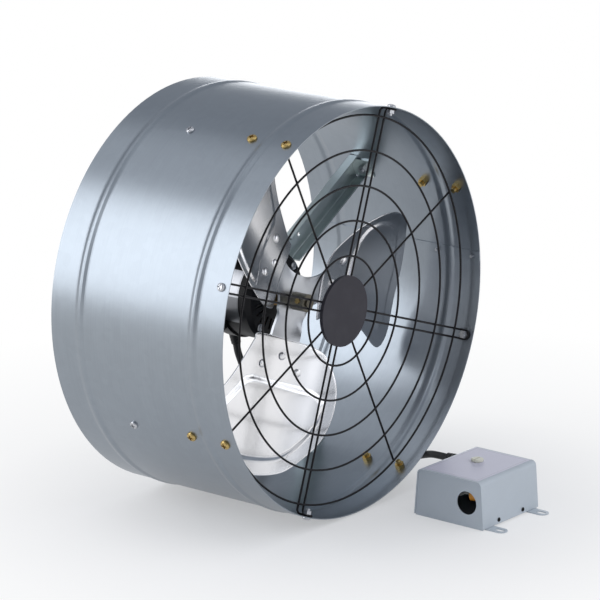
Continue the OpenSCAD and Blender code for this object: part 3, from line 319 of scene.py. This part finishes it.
class Shade:
    """A material with one Principled shader, and a method that adds any other node."""

    def __init__(self, name, **constants):
        self.material = bpy.data.materials.new(name)
        self.material.use_nodes = True
        self.tree = self.material.node_tree
        self.shader = self.tree.nodes["Principled BSDF"]
        for socket, value in constants.items():
            self.shader.inputs[socket.replace("_", " ")].default_value = value
        self.place = self.add("ShaderNodeTexCoord", out="Object")

    def add(self, kind, settings=None, inputs=None, out=0):
        """Makes a node of this kind, and returns one of its outputs."""
        node = self.tree.nodes.new(kind)
        for name, value in (settings or {}).items():
            if name == "stops":
                self.set_stops(node.color_ramp, value)
            else:
                setattr(node, name, value)
        for key, value in (inputs or {}).items():
            self.feed(node.inputs[key], value)
        return Value(self, node.outputs[out])

    def set_stops(self, ramp, stops):
        """Gives a ramp its stops: place and grey."""
        while len(ramp.elements) < len(stops):
            ramp.elements.new(1.0)
        for element, (at, grey) in zip(ramp.elements, stops):
            element.position = at
            element.color = (grey, grey, grey, 1.0)

    def feed(self, socket, value):
        """Links a value to a socket, or sets the socket to a number or colour."""
        if isinstance(value, Value):
            self.tree.links.new(value.socket, socket)
        else:
            socket.default_value = value

    def maths(self, operation, *values):
        """A maths node on one or two values."""
        return self.add("ShaderNodeMath", {"operation": operation}, dict(enumerate(values)))

    def scaled(self, factors):
        """The place on the object, stretched along X, Y and Z."""
        return self.add("ShaderNodeVectorMath", {"operation": "MULTIPLY"},
                        {0: self.place, 1: factors})

    def along(self, direction):
        """How far a point lies along a direction."""
        return self.add("ShaderNodeVectorMath", {"operation": "DOT_PRODUCT"},
                        {0: self.place, 1: direction}, out="Value")

    def noise(self, source, scale=1.0, detail=3.0):
        """Cloudy noise over a place."""
        return self.add("ShaderNodeTexNoise", inputs={
            "Vector": source, "Scale": scale, "Detail": detail})

    def cells(self, scale):
        """A random number in each cell of a crystal pattern."""
        colour = self.add("ShaderNodeTexVoronoi", inputs={"Vector": self.place, "Scale": scale},
                          out="Color")
        return self.add("ShaderNodeSeparateColor", inputs={0: colour})

    def ramp(self, value, stops):
        """A grey that follows a value through stops."""
        return self.add("ShaderNodeValToRGB", {"stops": stops}, {0: value})

    def tint(self, factor, low, high):
        """A colour between two, by a factor."""
        return self.add("ShaderNodeMix", {"data_type": "RGBA"}, {0: factor, 6: low, 7: high},
                        out=2)

    def vary(self, factor, colour, dark, light):
        """A colour that goes from a darker to a lighter shade of itself, by a factor."""
        return self.tint(factor, shade_of(colour, dark), shade_of(colour, light))

    def drum_place(self, around, across):
        """Coordinates that run round the drum's axis with no join: stretched round and across."""
        x = self.along((1, 0, 0))
        y = self.along((0, 1, 0))
        z = self.along((0, 0, 1)) - AXIS_Z
        reach = (x * x + z * z).root() + 1e-6
        return self.add("ShaderNodeCombineXYZ", inputs={
            0: x / reach * around, 1: y * across, 2: z / reach * around})

    def relief(self, height, strength, distance):
        """Bumps of this height, strength and depth in metres."""
        self.feed(self.shader.inputs["Normal"], self.add("ShaderNodeBump", inputs={
            "Strength": strength, "Distance": distance, "Height": height}))

    def finish(self, **sockets):
        """Feeds the shader's sockets, and returns the material."""
        for socket, value in sockets.items():
            self.feed(self.shader.inputs[socket.replace("_", " ")], value)
        return self.material


def shade_of(colour, factor):
    """A colour made lighter or darker, with alpha."""
    return tuple(min(1.0, part * factor) for part in colour[:3]) + (1.0,)


def galvanised(name, colour, around=True):
    """Rolled zinc-coated sheet: fine rolling streaks, round the drum or along a flat piece,
    with faint spangle and slow smudges."""
    shade = Shade(name, Metallic=1.0)
    if around:
        lines = shade.drum_place(around=2.5, across=900.0)
    else:
        lines = shade.scaled((40.0, 900.0, 40.0))
    streaks = shade.noise(lines, detail=4.0)
    spangle = shade.cells(scale=140.0)
    smudges = shade.noise(shade.place, scale=9.0, detail=3.0)
    mottle = streaks * 0.55 + spangle * 0.15 + smudges * 0.3
    shade.relief(streaks * 0.8 + spangle * 0.2, strength=0.07, distance=0.2 * MM)
    return shade.finish(
        Base_Color=shade.vary(mottle, colour, dark=0.88, light=1.12),
        Roughness=0.25 + streaks * 0.10 + smudges * 0.06)


def rolled_aluminium(name, colour, turn):
    """Bright sheet with streaks along the blade, drawn marks and dull patches."""
    shade = Shade(name, Metallic=1.0)
    lengthwise = shade.along((math.cos(turn), 0, math.sin(turn)))
    crosswise = shade.along((-math.sin(turn), 0, math.cos(turn)))
    place = shade.add("ShaderNodeCombineXYZ", inputs={
        0: lengthwise * 14.0, 1: crosswise * 900.0, 2: shade.along((0, 20.0, 0))})
    streaks = shade.noise(place, detail=4.0)
    patches = shade.noise(shade.place, scale=22.0, detail=3.0)
    marks = shade.noise(shade.place, scale=260.0, detail=2.0)
    shade.relief(streaks * 0.7 + marks * 0.3, strength=0.12, distance=0.2 * MM)
    return shade.finish(
        Base_Color=shade.vary(streaks * 0.5 + patches * 0.5, colour, dark=0.92, light=1.08),
        Roughness=0.14 + streaks * 0.06 + patches * 0.08)


def plated(name, colour, dark=0.78, roughness=0.24):
    """Plated fastener: cloudy plating with fine scratches."""
    shade = Shade(name, Metallic=1.0)
    clouds = shade.noise(shade.place, scale=420.0, detail=3.0)
    scratches = shade.noise(shade.scaled((300.0, 1500.0, 2200.0)), detail=2.0)
    shade.relief(scratches, strength=0.12, distance=0.1 * MM)
    return shade.finish(
        Base_Color=shade.vary(clouds, colour, dark=dark, light=1.12),
        Roughness=roughness + clouds * 0.14 + scratches * 0.06)


def satin_paint(name, colour, roughness=0.36, grain=1400.0):
    """Satin paint with a fine skin and slightly rubbed patches."""
    shade = Shade(name, Metallic=0.0, Specular_IOR_Level=0.2)
    skin = shade.noise(shade.place, scale=grain, detail=2.0)
    patches = shade.noise(shade.place, scale=60.0, detail=4.0)
    rubbed = shade.ramp(patches, ((0.45, 0.0), (0.75, 1.0)))
    shade.relief(skin, strength=0.16, distance=0.1 * MM)
    return shade.finish(
        Base_Color=shade.vary(rubbed * 0.25 + skin * 0.2, colour, dark=0.9, light=1.35),
        Roughness=roughness + skin * 0.08 - rubbed * 0.08)


def box_paint(name, colour):
    """Baked enamel over folded sheet: orange-peel skin, slight dust and dulling."""
    shade = Shade(name, Metallic=0.0)
    peel = shade.noise(shade.place, scale=620.0, detail=2.0)
    dust = shade.noise(shade.place, scale=38.0, detail=4.0)
    shade.relief(peel, strength=0.10, distance=0.12 * MM)
    return shade.finish(
        Base_Color=shade.vary(dust * 0.7 + peel * 0.3, colour, dark=0.94, light=1.06),
        Roughness=0.30 + dust * 0.12)


def label_film(name, colour):
    """Bare film: a pale field with a faint ruled border and no lettering."""
    shade = Shade(name, Metallic=0.0)
    low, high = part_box("cover_label")
    middle = (low + high) / 2
    half = (high - low) / 2
    x = ((shade.along((1, 0, 0)) - middle.x) / half.x).size()
    y = ((shade.along((0, 1, 0)) - middle.y) / half.y).size()
    border = (x.above(0.93) + y.above(0.91)) * (1.0 - x.above(0.945)) * (1.0 - y.above(0.93))
    clouds = shade.noise(shade.place, scale=45.0, detail=3.0)
    plain = shade.vary(clouds, colour, dark=0.95, light=1.05)
    skin = shade.noise(shade.place, scale=900.0, detail=2.0)
    shade.relief(skin, strength=0.05, distance=0.08 * MM)
    return shade.finish(
        Base_Color=shade.tint(border * 0.6, plain, shade_of(colour, 0.55)),
        Roughness=0.34 + clouds * 0.1)


def moulded(name, colour, roughness=0.42):
    """Moulded plastic with a fine spark-eroded skin."""
    shade = Shade(name, Metallic=0.0)
    skin = shade.noise(shade.place, scale=1800.0, detail=2.0)
    flow = shade.noise(shade.place, scale=120.0, detail=2.0)
    shade.relief(skin, strength=0.14, distance=0.08 * MM)
    return shade.finish(
        Base_Color=shade.vary(flow * 0.6 + skin * 0.4, colour, dark=0.92, light=1.08),
        Roughness=roughness + skin * 0.1)


def rubber_jacket(name, colour):
    """Black jacket: matt, with bloom and a fine skin."""
    shade = Shade(name, Metallic=0.0)
    bloom = shade.noise(shade.place, scale=75.0, detail=4.0)
    skin = shade.noise(shade.place, scale=1600.0, detail=2.0)
    shade.relief(skin, strength=0.2, distance=0.1 * MM)
    return shade.finish(
        Base_Color=shade.vary(bloom, colour, dark=0.75, light=1.7),
        Roughness=0.48 + bloom * 0.16)


def nameplate_foil(name, colour):
    """Silver plate: a pale field above a bare field, a ruled frame and no lettering."""
    shade = Shade(name, Metallic=0.85)
    low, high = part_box("nameplate")
    height = (shade.along((0, 0, 1)) - low.z) / (high.z - low.z)
    across = (shade.along((0, 1, 0)) - low.y) / (high.y - low.y)
    aside = (across - 0.5).size()
    edge = aside.above(0.43) * (1.0 - aside.above(0.46))
    upper_field = height.above(0.52)
    brushed = shade.noise(shade.scaled((60.0, 2200.0, 60.0)), detail=3.0)
    plain = shade.vary(upper_field, colour, dark=0.5, light=1.25)
    worn = shade.tint(brushed * 0.35, plain, shade_of(colour, 0.5))
    shade.relief(brushed, strength=0.1, distance=0.1 * MM)
    return shade.finish(
        Base_Color=shade.tint(edge * 0.5, worn, shade_of(colour, 0.25)),
        Roughness=0.30 + brushed * 0.12)


def stacked_steel(name, colour):
    """Stack of thin laminations: lines across the drum's axis."""
    shade = Shade(name, Metallic=1.0)
    lines = (shade.along((0, 1, 0)) * 9000.0).sine() * 0.5 + 0.5
    oil = shade.noise(shade.place, scale=90.0, detail=3.0)
    shade.relief(lines, strength=0.4, distance=0.2 * MM)
    return shade.finish(
        Base_Color=shade.vary(lines * 0.5 + oil * 0.5, colour, dark=0.6, light=1.3),
        Roughness=0.36 + oil * 0.16)


def wound_copper(name, colour):
    """Varnished wire laid in bundles round the bore."""
    shade = Shade(name, Metallic=0.9)
    lay = shade.noise(shade.drum_place(around=30.0, across=260.0), detail=1.0)
    turns = (shade.along((0, 1, 0)) * 5200.0 + lay * 9.0).sine() * 0.5 + 0.5
    shade.relief(turns, strength=0.8, distance=0.4 * MM)
    return shade.finish(
        Base_Color=shade.vary(turns, colour, dark=0.45, light=1.3),
        Roughness=0.30 + lay * 0.2)


def pale_floor(name, colour):
    """Matt studio floor with barely visible mottle. Where it is seen, straight or in metal, it
    turns to plain white with the distance from the fan, so the fan's shadow stays; near the fan
    it is also greyer, a painted shade that shows in the metal's reflections too."""
    shade = Shade(name, Metallic=0.0, Roughness=0.9, Specular_IOR_Level=0.1)
    mottle = shade.noise(shade.place, scale=3.0, detail=3.0)
    shade.finish(Base_Color=shade.vary(mottle, colour, dark=0.995, light=1.005))
    seen = sum(shade.add("ShaderNodeLightPath", out=ray) for ray in
               ("Is Camera Ray", "Is Glossy Ray", "Is Transmission Ray"))
    white = shade.add("ShaderNodeEmission", inputs={"Color": (1, 1, 1, 1), "Strength": 1.0})
    away = shade.add("ShaderNodeVectorMath", {"operation": "LENGTH"}, {0: shade.place},
                     out="Value")
    # Painted shade: less white near the fan greys the floor round it, seen straight and in
    # reflections
    painted_shade_fade = shade.ramp(away, FLOOR_WHITE_AND_PAINTED_SHADE)
    mixed = shade.add("ShaderNodeMixShader", inputs={
        0: seen * painted_shade_fade, 1: Value(shade, shade.shader.outputs[0]), 2: white})
    shade.feed(shade.tree.nodes["Material Output"].inputs["Surface"], mixed)
    return shade.material


def dress(nodes, material):
    """Gives CAD nodes one material."""
    for name in nodes:
        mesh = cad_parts[name].data
        mesh.materials.clear()
        mesh.materials.append(material)


def make_mesh(name, points, faces, material, smooth=True):
    """A mesh object in the shared frame."""
    mesh = bpy.data.meshes.new(name)
    mesh.from_pydata([tuple(p) for p in points], [], faces)
    mesh.validate()
    mesh.update()
    for polygon in mesh.polygons:
        polygon.use_smooth = smooth
    mesh.materials.append(material)
    made = bpy.data.objects.new(name, mesh)
    bpy.context.scene.collection.objects.link(made)
    return made


def merge_points(made):
    """Joins points that lie on each other, and keeps square edges sharp."""
    whole = bmesh.new()
    whole.from_mesh(made.data)
    bmesh.ops.remove_doubles(whole, verts=whole.verts, dist=MERGE_DISTANCE)
    bmesh.ops.recalc_face_normals(whole, faces=whole.faces)
    whole.to_mesh(made.data)
    whole.free()
    made.data.set_sharp_from_angle(angle=SHARP_ANGLE)


def smooth_points(points, steps, closed):
    """A smooth curve through points, with this many steps between two of them."""
    p = np.array(points, float)
    n = len(p)
    out = []
    for i in range(n if closed else n - 1):
        at = [(i + k) % n if closed else min(max(i + k, 0), n - 1) for k in (-1, 0, 1, 2)]
        a, b, c, d = p[at]
        for u in np.arange(steps) / steps:
            out.append(0.5 * (2 * b + u * (c - a) + u * u * (2 * a - 5 * b + 4 * c - d)
                              + u ** 3 * (3 * b - a - 3 * c + d)))
    if not closed:
        out.append(p[-1])
    return np.array(out)


def depth_inside(points, outline):
    """How far each point lies inside a closed outline, below zero outside it."""
    a = outline
    b = np.roll(outline, -1, axis=0)
    run = b - a
    rel = points[:, None, :] - a[None]
    t = np.clip((rel * run).sum(-1) / (run * run).sum(-1), 0, 1)
    near = np.linalg.norm(rel - t[..., None] * run, axis=-1).min(1)
    crosses = (a[:, 1] > points[:, None, 1]) != (b[:, 1] > points[:, None, 1])
    rise = np.where(run[:, 1] == 0, 1e-12, run[:, 1])
    left = points[:, None, 0] < a[:, 0] + run[:, 0] * (points[:, None, 1] - a[:, 1]) / rise
    inside = (crosses & left).sum(1) % 2 == 1
    return np.where(inside, near, -near)


def blade_turn(i):
    """Turn of a blade about the axis, from the first one's place."""
    return math.radians(BLADE_TURN + 360 / BLADE_COUNT * i)


def blade_rise(look, across):
    """Height of a blade's section over its pitch axis, at this distance across the blade."""
    r = look.tip_radius
    lift = across * math.tan(look.pitch)
    lift = lift + np.where(across > 0, look.camber * (across / (r * CAMBER_REACH)) ** 2, 0)
    lobe = np.minimum(across + r * LOBE_START, 0) / (r * LOBE_WIDTH)
    return lift + look.lobe_lift * lobe ** 2


def blade_points(look, turn):
    """Front and back of one blade as rings of points from its middle out, and its faces."""
    r = look.tip_radius
    outline = smooth_points(np.array(BLADE_OUTLINE) * r, BLADE_STEPS, True)
    panel = smooth_points(np.array(PANEL_OUTLINE) * r, PANEL_STEPS, True)
    middle = np.array(BLADE_MIDDLE) * r
    flat = np.concatenate([[middle]] + [middle + (outline - middle) * s for s in BLADE_RINGS])
    along, across = flat[:, 0], flat[:, 1]
    lift = blade_rise(look, across)
    half_slope = look.panel_slope / 2
    raised = smooth_step(depth_inside(flat, panel), -half_slope, half_slope)
    lift = lift + look.panel_rise * raised
    n = len(outline)
    rounding = np.zeros(len(flat))
    rounding[-2 * n:-n] = look.sheet * RIM_ROUNDING[0]
    rounding[-n:] = look.sheet * RIM_ROUNDING[1]
    cos_t, sin_t = math.cos(turn), math.sin(turn)

    def placed(height):
        return np.stack([along * cos_t - across * sin_t,
                         RIM_Y + look.front_depth - height,
                         AXIS_Z + along * sin_t + across * cos_t], axis=1)

    front = placed(lift - rounding)
    back = placed(lift - look.sheet + rounding)
    return np.concatenate([front, back]), blade_faces(n, len(BLADE_RINGS), len(flat))


def blade_faces(n, rings, count):
    """Faces of a blade whose front rings come first and whose back rings follow."""
    faces = []
    for side in (0, 1):
        base = side * count
        for k in range(n):
            j = (k + 1) % n
            faces.append(turned([base, base + 1 + j, base + 1 + k], side))
            for ring in range(rings - 1):
                a = base + 1 + ring * n
                faces.append(turned([a + k, a + j, a + n + j, a + n + k], side))
    rim = 1 + (rings - 1) * n
    for k in range(n):
        j = (k + 1) % n
        faces.append([rim + k, rim + j, count + rim + j, count + rim + k])
    return faces


def turned(face, side):
    """A face as it is on the front, side 0, or turned over for the back, side 1."""
    return face[::-1] if side else face


def smooth_step(value, low, high):
    """Goes smoothly from nought to one between two values."""
    step = np.clip((value - low) / (high - low), 0, 1)
    return step * step * (3 - 2 * step)


def spider_arm(look):
    """Grid over one arm of the spider plate: points, heights, and numbers of rows and columns."""
    half = smooth_points(np.array(SPIDER_HALF) * look.spider_reach, SPIDER_STEPS, False)
    share = np.linspace(-1, 1, SPIDER_COLUMNS)
    fan = np.radians(SPIDER_FAN) * share
    bore = np.stack([np.cos(fan), np.sin(fan)], axis=1) * look.spider_bore
    root = np.stack([np.full(len(share), half[0, 0]), share * half[0, 1]], axis=1)
    rows = [bore + (root - bore) * t for t in np.linspace(0, 1, SPIDER_ROOT_ROWS + 1)[:-1]]
    rows += [np.stack([np.full(len(share), s), share * c], axis=1) for s, c in half]
    flat = np.concatenate(rows)
    radius = np.linalg.norm(flat, axis=1)
    angle = np.abs(np.degrees(np.arctan2(flat[:, 1], flat[:, 0])))
    twist = smooth_step(radius, *TWIST_RADII) * (1 - smooth_step(angle, *TWIST_ANGLES))
    return flat, blade_rise(look, flat[:, 1]) * twist, len(rows), len(share)


def spider_points(look):
    """Points and faces of the three-armed plate, its arms twisted out of a flat middle."""
    flat, height, rows, columns = spider_arm(look)
    count = len(flat)
    front = look.front_depth + look.sheet / math.cos(look.pitch) + TOUCH
    points, faces = [], []
    for arm in range(BLADE_COUNT):
        turn = blade_turn(arm)
        for layer in (0, 1):
            base = (arm * 2 + layer) * count
            deep = look.spider_sheet / math.cos(look.pitch) * layer
            for (s, c), lift in zip(flat, height):
                points.append((s * math.cos(turn) - c * math.sin(turn),
                               RIM_Y + front - lift + deep,
                               AXIS_Z + s * math.sin(turn) + c * math.cos(turn)))
            for i in range(rows - 1):
                for k in range(columns - 1):
                    a = base + i * columns + k
                    faces.append(turned([a, a + 1, a + 1 + columns, a + columns], layer))
        faces += spider_edges(arm * 2 * count, count, rows, columns)
    return points, faces


def spider_edges(base, count, rows, columns):
    """Faces that join front and back of one arm along its bore, its two sides and its tip."""
    bore = list(range(columns))[::-1]
    left = [i * columns for i in range(SPIDER_ROOT_ROWS, rows)]
    tip = [(rows - 1) * columns + k for k in range(columns)]
    right = [i * columns + columns - 1 for i in range(rows - 1, SPIDER_ROOT_ROWS - 1, -1)]
    faces = []
    for run in (bore, left, tip, right):
        for a, b in zip(run[:-1], run[1:]):
            faces.append([base + b, base + a, base + count + a, base + count + b])
    return faces


def relief_profile(look, inside):
    """Ribbed taper of a strain relief: distance along its axis and radius."""
    length = look.relief_length
    flange_r = look.relief_flange / 2
    profile = [(-inside, 0.0), (-inside, RELIEF_PLUG_R), (0.0, RELIEF_PLUG_R),
               (0.0, flange_r - RELIEF_BEVEL), (RELIEF_EDGE, flange_r),
               (RELIEF_FLANGE - RELIEF_BEVEL, flange_r), (RELIEF_FLANGE, flange_r - RELIEF_BEVEL),
               (RELIEF_FLANGE, RELIEF_ROOT_R)]
    rib = (length - RIBS_MARGIN) / RELIEF_RIBS
    for i in range(RELIEF_RIBS):
        start = RIBS_START + i * rib
        run = (start - RELIEF_FLANGE) / (length - RELIEF_FLANGE)
        r = RELIEF_ROOT_R + (RELIEF_TIP_R - RELIEF_ROOT_R) * run
        profile += [(start + rib * share, r - depth) for share, depth in RIB_SHAPE]
    profile += [(length - RELIEF_BEVEL, RELIEF_TIP_R), (length, RELIEF_TIP_R - RELIEF_BEVEL),
                (length, 0.0)]
    return profile


def lathe(name, profile, origin, axis, material, sides=48):
    """A turned piece about an axis through an origin, from a profile of places and radii."""
    axis = Vector(axis).normalized()
    across = axis.orthogonal().normalized()
    up = axis.cross(across)
    points, faces = [], []
    for z, r in profile:
        for k in range(sides):
            turn = 2 * math.pi * k / sides
            points.append(Vector(origin) + axis * z
                          + (across * math.cos(turn) + up * math.sin(turn)) * max(r, 1e-6))
    for i in range(len(profile) - 1):
        for k in range(sides):
            j = (k + 1) % sides
            a = i * sides
            faces.append([a + k, a + j, a + sides + j, a + sides + k])
    return make_mesh(name, points, faces, material)


def add_softbox(name, towards, distance, size, power):
    """A large soft lamp that faces the middle of the fan."""
    lamp = bpy.data.lights.new(name, "AREA")
    lamp.shape = "RECTANGLE"
    lamp.size, lamp.size_y = size
    lamp.energy = power
    made = bpy.data.objects.new(name, lamp)
    direction = Vector(towards).normalized()
    made.location = Vector((0, 0, AXIS_Z)) + direction * distance
    made.rotation_euler = direction.to_track_quat("Z", "Y").to_euler()
    made.visible_camera = False
    bpy.context.scene.collection.objects.link(made)


class ATTICFAN_OT_stage(bpy.types.Operator):
    """Makes the camera, the floor, the room's light and the softboxes"""
    bl_idname = "attic_fan.stage"
    bl_label = "Stage"

    def execute(self, context):
        look = context.scene.attic_fan_stage
        scene = context.scene
        scene.view_settings.view_transform = "Standard"
        camera = bpy.data.objects.new("camera", bpy.data.cameras.new("camera"))
        camera.data.lens = look.camera_lens
        camera.data.sensor_width = SENSOR_WIDTH
        camera.data.clip_end = VIEW_REACH
        camera.location = look.camera_place
        camera.rotation_euler = (math.pi / 2 - look.camera_elevation, 0, look.camera_azimuth)
        scene.collection.objects.link(camera)
        scene.camera = camera
        half = look.floor_size / 2
        corners = [(-half, -half, 0), (half, -half, 0), (half, half, 0), (-half, half, 0)]
        floor = make_mesh("floor", corners, [(0, 1, 2, 3)],
                          pale_floor("pale_floor", look.floor_colour), smooth=False)
        floor.location.z = -FLOOR_DROP
        world = bpy.data.worlds.new("room")
        world.use_nodes = True
        sky = world.node_tree.nodes["Background"]
        sky.inputs["Color"].default_value = tuple(look.sky_colour) + (1.0,)
        sky.inputs["Strength"].default_value = look.sky_strength
        scene.world = world
        for softbox in SOFTBOXES:
            add_softbox(*softbox)
        return {"FINISHED"}


class ATTICFAN_OT_lead(bpy.types.Operator):
    """Makes the lead from the motor to the box, and the ribbed strain reliefs at its ends"""
    bl_idname = "attic_fan.lead"
    bl_label = "Lead"

    def execute(self, context):
        look = context.scene.attic_fan_lead
        jacket = rubber_jacket("lead_jacket", look.colour)
        route = np.array(LEAD_ROUTE) * MM + np.array((0, RIM_Y, 0))
        path = smooth_points(route, LEAD_STEPS, False)[::-1]
        curve = bpy.data.curves.new("lead", "CURVE")
        curve.dimensions = "3D"
        curve.bevel_depth = look.diameter / 2
        curve.bevel_resolution = 6
        curve.use_fill_caps = True
        spline = curve.splines.new("POLY")
        spline.points.add(len(path) - 1)
        for point, place in zip(spline.points, path):
            point.co = (*place, 1.0)
        spline.use_smooth = True
        curve.materials.append(jacket)
        lead = bpy.data.objects.new("lead", curve)
        context.scene.collection.objects.link(lead)
        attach(lead, "fan_frame")
        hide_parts("motor_lead")
        self.make_relief(look, jacket, "box_relief", "box_strain_relief", path[-1],
                         (0, 1, 0), RELIEF_PLUG)
        down = (math.cos(MOTOR_RELIEF_TURN), 0, math.sin(MOTOR_RELIEF_TURN))
        self.make_relief(look, jacket, "motor_relief", "motor_strain_relief", path[0], down, 0.0)
        return {"FINISHED"}

    def make_relief(self, look, jacket, name, node, tip, axis, inside):
        """Makes one relief, whose tip touches the lead's end, and whose plug reaches inside."""
        origin = Vector(tip) - Vector(axis) * (look.relief_length + TOUCH)
        made = lathe(name, relief_profile(look, inside), origin, axis, jacket)
        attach(made, "fan_frame")
        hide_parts(node)


class ATTICFAN_OT_blades(bpy.types.Operator):
    """Makes the pressed blades and the spider plate behind them, and finishes the rivets"""
    bl_idname = "attic_fan.blades"
    bl_label = "Blades"

    def execute(self, context):
        look = context.scene.attic_fan_blades
        for i in range(BLADE_COUNT):
            turn = blade_turn(i)
            sheet = rolled_aluminium(f"blade_sheet_{i + 1}", look.colour, turn)
            points, faces = blade_points(look, turn)
            blade = make_mesh(f"pressed_blade_{i + 1}", points, faces, sheet)
            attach(blade, "propeller")
            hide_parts(f"blade_{i + 1}")
        dress(("blade_rivets",), plated("rivet_aluminium", look.colour, dark=0.9, roughness=0.2))
        metal = context.scene.attic_fan_metals.spider
        points, faces = spider_points(look)
        plate = make_mesh("twisted_spider", points, faces,
                          galvanised("plated_spider", metal, around=False))
        merge_points(plate)
        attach(plate, "propeller")
        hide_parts("spider_plate")
        return {"FINISHED"}


class ATTICFAN_OT_drum(bpy.types.Operator):
    """Finishes the drum and the motor arms"""
    bl_idname = "attic_fan.drum"
    bl_label = "Drum and arms"

    def execute(self, context):
        look = context.scene.attic_fan_metals
        dress(("housing",), galvanised("galvanised_drum", look.drum))
        dress(("motor_arm_1", "motor_arm_2", "motor_arm_3", "motor_arm_4"),
              galvanised("galvanised_arm", look.arms, around=False))
        return {"FINISHED"}


class ATTICFAN_OT_guard(bpy.types.Operator):
    """Finishes the wire guard and its centre disc"""
    bl_idname = "attic_fan.guard"
    bl_label = "Guard"

    def execute(self, context):
        look = context.scene.attic_fan_paints
        dress(("guard_rings", "guard_hairpins", "guard_spokes"),
              satin_paint("guard_paint", look.guard, roughness=0.34))
        dress(("guard_disc",),
              satin_paint("disc_paint", look.disc, roughness=0.42, grain=900.0))
        return {"FINISHED"}


class ATTICFAN_OT_fasteners(bpy.types.Operator):
    """Finishes the screws, bolts and nuts"""
    bl_idname = "attic_fan.fasteners"
    bl_label = "Fasteners"

    def execute(self, context):
        look = context.scene.attic_fan_metals
        dress(("seam_screws", "guard_screws", "guard_nuts", "arm_screws", "arm_nuts",
               "band_screw", "band_nut", "through_bolts", "through_bolt_nuts"),
              plated("zinc_plate", look.zinc, dark=0.6))
        dress(("bracket_bolts", "bracket_nuts", "hub_set_screw"),
              plated("yellow_zinc_plate", look.yellow_zinc, dark=0.55))
        dress(("cover_screws",), satin_paint("black_screws", (0.01, 0.01, 0.011)))
        return {"FINISHED"}


class ATTICFAN_OT_motor(bpy.types.Operator):
    """Finishes the motor, its band, what is inside it and the hub"""
    bl_idname = "attic_fan.motor"
    bl_label = "Motor and hub"

    def execute(self, context):
        metals = context.scene.attic_fan_metals
        paints = context.scene.attic_fan_paints
        dress(("motor_shell", "front_end_bell", "rear_end_bell", "mount_band"),
              satin_paint("motor_paint", paints.motor, roughness=0.40, grain=1100.0))
        dress(("nameplate",), nameplate_foil("nameplate_foil", metals.nameplate))
        dress(("hub_collar", "motor_shaft"),
              plated("turned_steel", metals.collar, dark=0.7, roughness=0.28))
        dress(("stator_core", "rotor"), stacked_steel("laminations", metals.core))
        dress(("stator_windings",), wound_copper("winding_wire", metals.copper))
        dress(("front_bearing", "rear_bearing"), plated("bearing_bronze", metals.bronze))
        dress(("thrust_washers",), moulded("hard_fibre", paints.fibre, roughness=0.6))
        return {"FINISHED"}


class ATTICFAN_OT_control_box(bpy.types.Operator):
    """Finishes the control box, its dial and what is inside it"""
    bl_idname = "attic_fan.control_box"
    bl_label = "Control box"

    def execute(self, context):
        look = context.scene.attic_fan_paints
        dress(("box_base", "box_cover"), box_paint("box_enamel", look.box))
        dress(("cover_label",), label_film("label_film", look.label))
        dress(("thermostat_dial",), moulded("dial_plastic", look.dial, roughness=0.34))
        dress(("thermostat_switch",), moulded("switch_plastic", look.switch))
        dress(("wire_connectors",),
              moulded("connector_plastic", look.connectors, roughness=0.3))
        dress(("box_wires",), moulded("wire_insulation", look.wires, roughness=0.35))
        return {"FINISHED"}


class ATTICFAN_PT_sidebar(bpy.types.Panel):
    """The fan's pieces and finishes"""
    bl_label = "Attic fan"
    bl_idname = "ATTICFAN_PT_sidebar"
    bl_space_type = "VIEW_3D"
    bl_region_type = "UI"
    bl_category = "Attic fan"

    def draw(self, context):
        for operator in OPERATORS:
            self.layout.operator(operator.bl_idname)
        for name in GROUPS:
            group = getattr(context.scene, name)
            column = self.layout.column(heading=group.bl_rna.name)
            for prop in group.bl_rna.properties:
                if prop.identifier not in ("rna_type", "name"):
                    column.prop(group, prop.identifier)


GROUPS = {
    "attic_fan_stage": AtticFanStage,
    "attic_fan_blades": AtticFanBlades,
    "attic_fan_lead": AtticFanLead,
    "attic_fan_metals": AtticFanMetals,
    "attic_fan_paints": AtticFanPaints,
}
OPERATORS = (
    ATTICFAN_OT_stage, ATTICFAN_OT_lead, ATTICFAN_OT_blades, ATTICFAN_OT_drum,
    ATTICFAN_OT_guard, ATTICFAN_OT_fasteners, ATTICFAN_OT_motor, ATTICFAN_OT_control_box,
)


def register():
    for group in GROUPS.values():
        bpy.utils.register_class(group)
    for name, group in GROUPS.items():
        setattr(bpy.types.Scene, name, bpy.props.PointerProperty(type=group))
    for operator in OPERATORS:
        bpy.utils.register_class(operator)
    bpy.utils.register_class(ATTICFAN_PT_sidebar)


def unregister():
    bpy.utils.unregister_class(ATTICFAN_PT_sidebar)
    for operator in reversed(OPERATORS):
        bpy.utils.unregister_class(operator)
    for name, group in reversed(list(GROUPS.items())):
        delattr(bpy.types.Scene, name)
        bpy.utils.unregister_class(group)


def main():
    """Registers the add-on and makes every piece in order."""
    register()
    for operator in OPERATORS:
        getattr(bpy.ops.attic_fan, operator.bl_idname.split(".")[1])()


if __name__ == "__main__":
    main()
